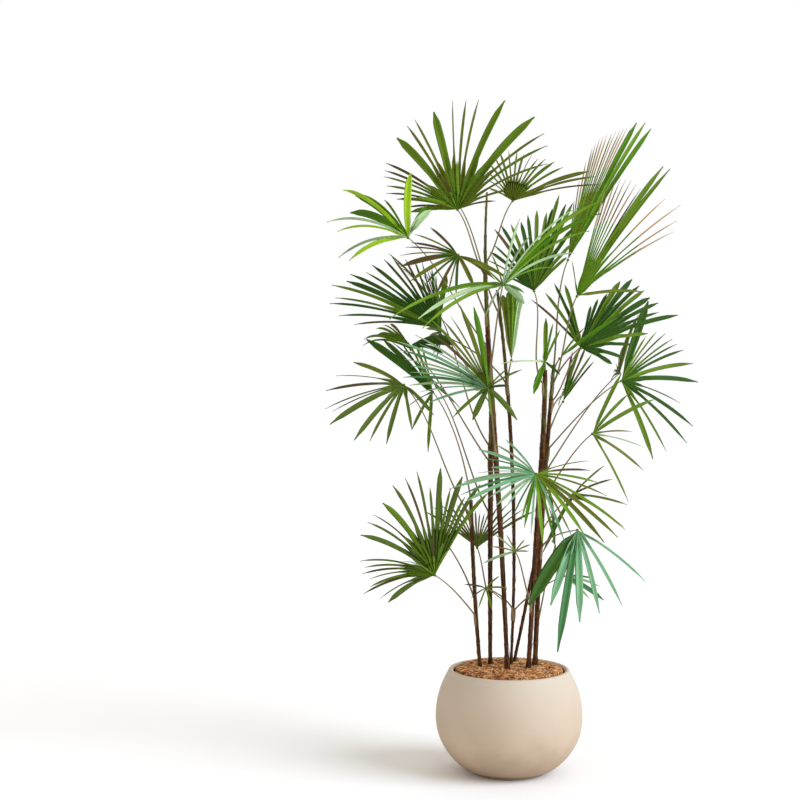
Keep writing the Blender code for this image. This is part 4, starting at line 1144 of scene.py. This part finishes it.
def petiole_rings(frond, rows=26, sides=10):
    """Rings of a petiole. Its line leaves the inside of the cane a little below its foot, clasps the cane
    up to the foot, and follows a cubic Bezier curve to the hub. The section is flattened on its upper
    side, and swells into the sheath at the foot."""
    cane = CANES[frond["cane"]]
    hub = np.array(frond["hub"])
    length = cane_length(cane)
    on_tip = frond["height"] is None
    share = 1.0 if on_tip else (frond["height"] - CANE_FOOT_HEIGHT) / length
    axis = cane_line(cane, share)
    outward = unit(np.array((hub[0] - axis[0], hub[1] - axis[1], 0.0)))
    foot = axis if on_tip else axis + outward * cane_radius(cane, share)
    start = unit(UP + outward * 0.15) if on_tip else unit(UP * 0.75 + outward * 0.66)
    below = max(0.0, share - CLASP_LENGTH / length)
    root = cane_line(cane, below) + outward * cane_radius(cane, below) * (0.0 if on_tip else 0.55)
    way = hub - foot
    arrive = unit(unit(way) + outward * 0.35 - UP * 0.10)
    stretch = np.linalg.norm(way)
    control = (foot, foot + start * stretch * 0.30, hub - arrive * stretch * 0.30, hub)
    s = np.linspace(0.0, 1.0, rows - 4)[:, None]
    weights = ((1 - s) ** 3, 3 * (1 - s) ** 2 * s, 3 * (1 - s) * s ** 2, s ** 3)
    curve = sum(weight * point for weight, point in zip(weights, control))
    line = np.concatenate([root + (foot - root) * np.linspace(0.0, 0.8, 4)[:, None], curve])
    tangent = unit(np.gradient(line, axis=0))
    side = unit(np.cross(UP, outward))
    side = unit(side - tangent * (tangent @ side)[:, None])
    over = np.cross(tangent, side)
    along = np.linspace(0.0, 1.0, rows)
    thick, thin = PETIOLE_RADII
    radius = (thick + (thin - thick) * along) * (1.0 + 0.55 * np.exp(-((along - 0.06) / 0.07) ** 2))
    ring = section(side, over, angles_round(sides), PETIOLE_FLATNESS)
    return line[:, None] + ring * radius[:, None, None]


def hub_rings(frond, rows=8, sides=12):
    """A small boss where the leaflets meet: an ellipsoid, flat along the way that the blade faces."""
    _, _, facing = frond_frame(frond)
    side = unit(np.cross(UP, facing) + np.array((1e-6, 0.0, 0.0)))
    other = np.cross(facing, side)
    turn = np.linspace(0.06, math.pi - 0.06, rows)
    angle = angles_round(sides)
    ring = side * np.cos(angle)[:, None] + other * np.sin(angle)[:, None]
    out, along = HUB_RADIUS * np.sin(turn), HUB_DEPTH * np.cos(turn)
    return ring[None] * out[:, None, None] - facing * along[:, None, None] + np.array(frond["hub"])


class PALM_OT_petioles(bpy.types.Operator):
    """Grow the petioles from the canes to the hubs"""
    bl_idname = "palm.petioles"
    bl_label = "Petioles"

    def execute(self, context):
        settings = context.scene.palm_fronds
        stalks = np.array([petiole_rings(frond) for frond in FRONDS.values()])
        hubs = np.array([hub_rings(frond) for frond in FRONDS.values()])
        skin = stalk("petiole_skin", settings.stalk, settings.stalk_flush)
        add_piece("petioles", tubes([stalks]), skin, list(FRONDS))
        add_piece("hubs", tubes([hubs]), leaf("hub_skin", settings.sage), list(FRONDS))
        return {"FINISHED"}


class PALM_OT_leaflets(bpy.types.Operator):
    """Spread the pleated leaflets, joined by tint"""
    bl_idname = "palm.leaflets"
    bl_label = "Leaflets"

    def execute(self, context):
        settings = context.scene.palm_fronds
        sprays = {tint: [] for tint in LEAF_SLOTS}
        owners = {tint: [] for tint in LEAF_SLOTS}
        for name, frond in FRONDS.items():
            for blade in blades_of(frond):
                for rings, tints in zip(*leaflet_rings(blade, settings)):
                    for tint in sprays:
                        chosen = tints == tint
                        if chosen.any():
                            sprays[tint].append(rings[chosen])
                            owners[tint].append(name)
        for tint, groups in sprays.items():
            if not groups:
                raise RuntimeError(f"no leaflet has the tint {tint}")
            skin = leaf("leaf_" + tint, getattr(settings, tint))
            add_piece("leaflets_" + tint, tubes(groups), skin, owners[tint])
        return {"FINISHED"}


# ---------------------------------------------------------------- stage

def add_light(name, kind, place, target, size, power, colour):
    """A light that faces its target: its size is the side of a square one, or the angle that a far one
    fills."""
    data = bpy.data.lights.new(name, kind)
    setattr(data, "angle" if kind == "SUN" else "size", size)
    data.energy = power
    data.color = colour
    made = bpy.data.objects.new(name, data)
    bpy.context.scene.collection.objects.link(made)
    made.location = place
    made.rotation_euler = (Vector(target) - Vector(place)).to_track_quat("-Z", "Y").to_euler()
    return made


class PALM_OT_stage(bpy.types.Operator):
    """Set the floor, the lights and the camera"""
    bl_idname = "palm.stage"
    bl_label = "Stage"

    def execute(self, context):
        stage = context.scene.palm_stage
        radii = np.array((0.01, 1.0, 3.0, 8.0, 19.99, 20.0))
        top = lathe(radii[::-1], np.full(len(radii), -0.0005), 64)[0]
        under = lathe(radii, np.full(len(radii), -0.02), 64)[0]
        shape = tubes([np.concatenate([under, top])[None]])
        made, tree, shader, place = new_material("floor_paint", specular=0.0)
        patch = noise(tree, place.outputs["Object"], 2.0, 2.0)
        base = blend_colour(tree, patch, shade(stage.floor, 0.98), shade(stage.floor, 1.0))
        finish_material(tree, shader, base, ramp(tree, patch, 0.3, 0.7, 0.85, 0.92), patch, 0.0005, 0.05)
        add_mesh("floor", shape, made)

        world = bpy.data.worlds.new("studio")
        context.scene.world = world
        world.use_nodes = True
        tree = world.node_tree
        light = tree.nodes["Background"]
        light.inputs["Color"].default_value = (1.0, 0.950, 0.860, 1.0)
        light.inputs["Strength"].default_value = 0.70
        seen = add_node(tree, "ShaderNodeBackground", {"Color": (1.0, 1.0, 1.0, 1.0), "Strength": 1.0})
        path = tree.nodes.new("ShaderNodeLightPath")
        parts = {0: path.outputs["Is Camera Ray"], 1: light.outputs[0], 2: seen.outputs[0]}
        mix = add_node(tree, "ShaderNodeMixShader", parts)
        tree.links.new(mix.outputs[0], tree.nodes["World Output"].inputs["Surface"])
        context.scene.view_settings.view_transform = "Standard"

        key_spread = math.radians(42)
        add_light("key", "SUN", (3.2, -1.3, 2.6), (0.0, 0.0, 0.7), key_spread, stage.key, (0.90, 0.98, 1.11))
        add_light("fill", "AREA", (-2.4, -2.2, 1.6), (0.0, 0.0, 0.8), 2.2, stage.fill, (1.0, 0.93, 0.82))
        add_light("back", "AREA", (0.6, 2.4, 2.6), (0.0, 0.0, 0.9), 2.0, stage.fill, (1.0, 1.0, 0.98))

        camera = bpy.data.cameras.new("camera")
        camera.sensor_width = 36.0
        camera.lens = stage.lens
        camera.clip_end = 100.0
        made = bpy.data.objects.new("camera", camera)
        context.scene.collection.objects.link(made)
        made.location = (0.0, -stage.camera_distance, stage.camera_height)
        made.rotation_euler = (math.pi / 2 + stage.camera_pitch, 0.0, stage.camera_yaw)
        context.scene.camera = made
        return {"FINISHED"}


class PALM_PT_sidebar(bpy.types.Panel):
    """Lists the settings of each group and the operators that build them"""
    bl_idname = "PALM_PT_sidebar"
    bl_label = "Lady Palm"
    bl_space_type = "VIEW_3D"
    bl_region_type = "UI"
    bl_category = "Lady Palm"

    def draw(self, context):
        for title, group, operators in GROUPS:
            box = self.layout.box()
            box.label(text=title)
            values = getattr(context.scene, group)
            for name in values.__annotations__:
                box.prop(values, name)
            for operator in operators:
                box.operator(operator.bl_idname)


GROUPS = (
    ("Pot", "palm_pot", (PALM_OT_pot,)),
    ("Mulch", "palm_mulch", (PALM_OT_mulch,)),
    ("Canes", "palm_canes", (PALM_OT_canes,)),
    ("Fronds", "palm_fronds", (PALM_OT_petioles, PALM_OT_leaflets)),
    ("Stage", "palm_stage", (PALM_OT_stage,)),
)
SETTINGS = {
    "palm_pot": PotSettings, "palm_mulch": MulchSettings, "palm_canes": CaneSettings,
    "palm_fronds": FrondSettings, "palm_stage": StageSettings,
}


def register():
    """Registers the settings, the operators and the panel."""
    for name, group in SETTINGS.items():
        bpy.utils.register_class(group)
        setattr(bpy.types.Scene, name, bpy.props.PointerProperty(type=group))
    for _, _, operators in GROUPS:
        for operator in operators:
            bpy.utils.register_class(operator)
    bpy.utils.register_class(PALM_PT_sidebar)


def unregister():
    """Takes everything that register added out again."""
    bpy.utils.unregister_class(PALM_PT_sidebar)
    for _, _, operators in reversed(GROUPS):
        for operator in operators:
            bpy.utils.unregister_class(operator)
    for name, group in SETTINGS.items():
        delattr(bpy.types.Scene, name)
        bpy.utils.unregister_class(group)


def main():
    """Builds the stage and every piece."""
    register()
    bpy.ops.palm.stage()
    bpy.ops.palm.pot()
    bpy.ops.palm.mulch()
    bpy.ops.palm.canes()
    bpy.ops.palm.petioles()
    bpy.ops.palm.leaflets()


if __name__ == "__main__":
    main()
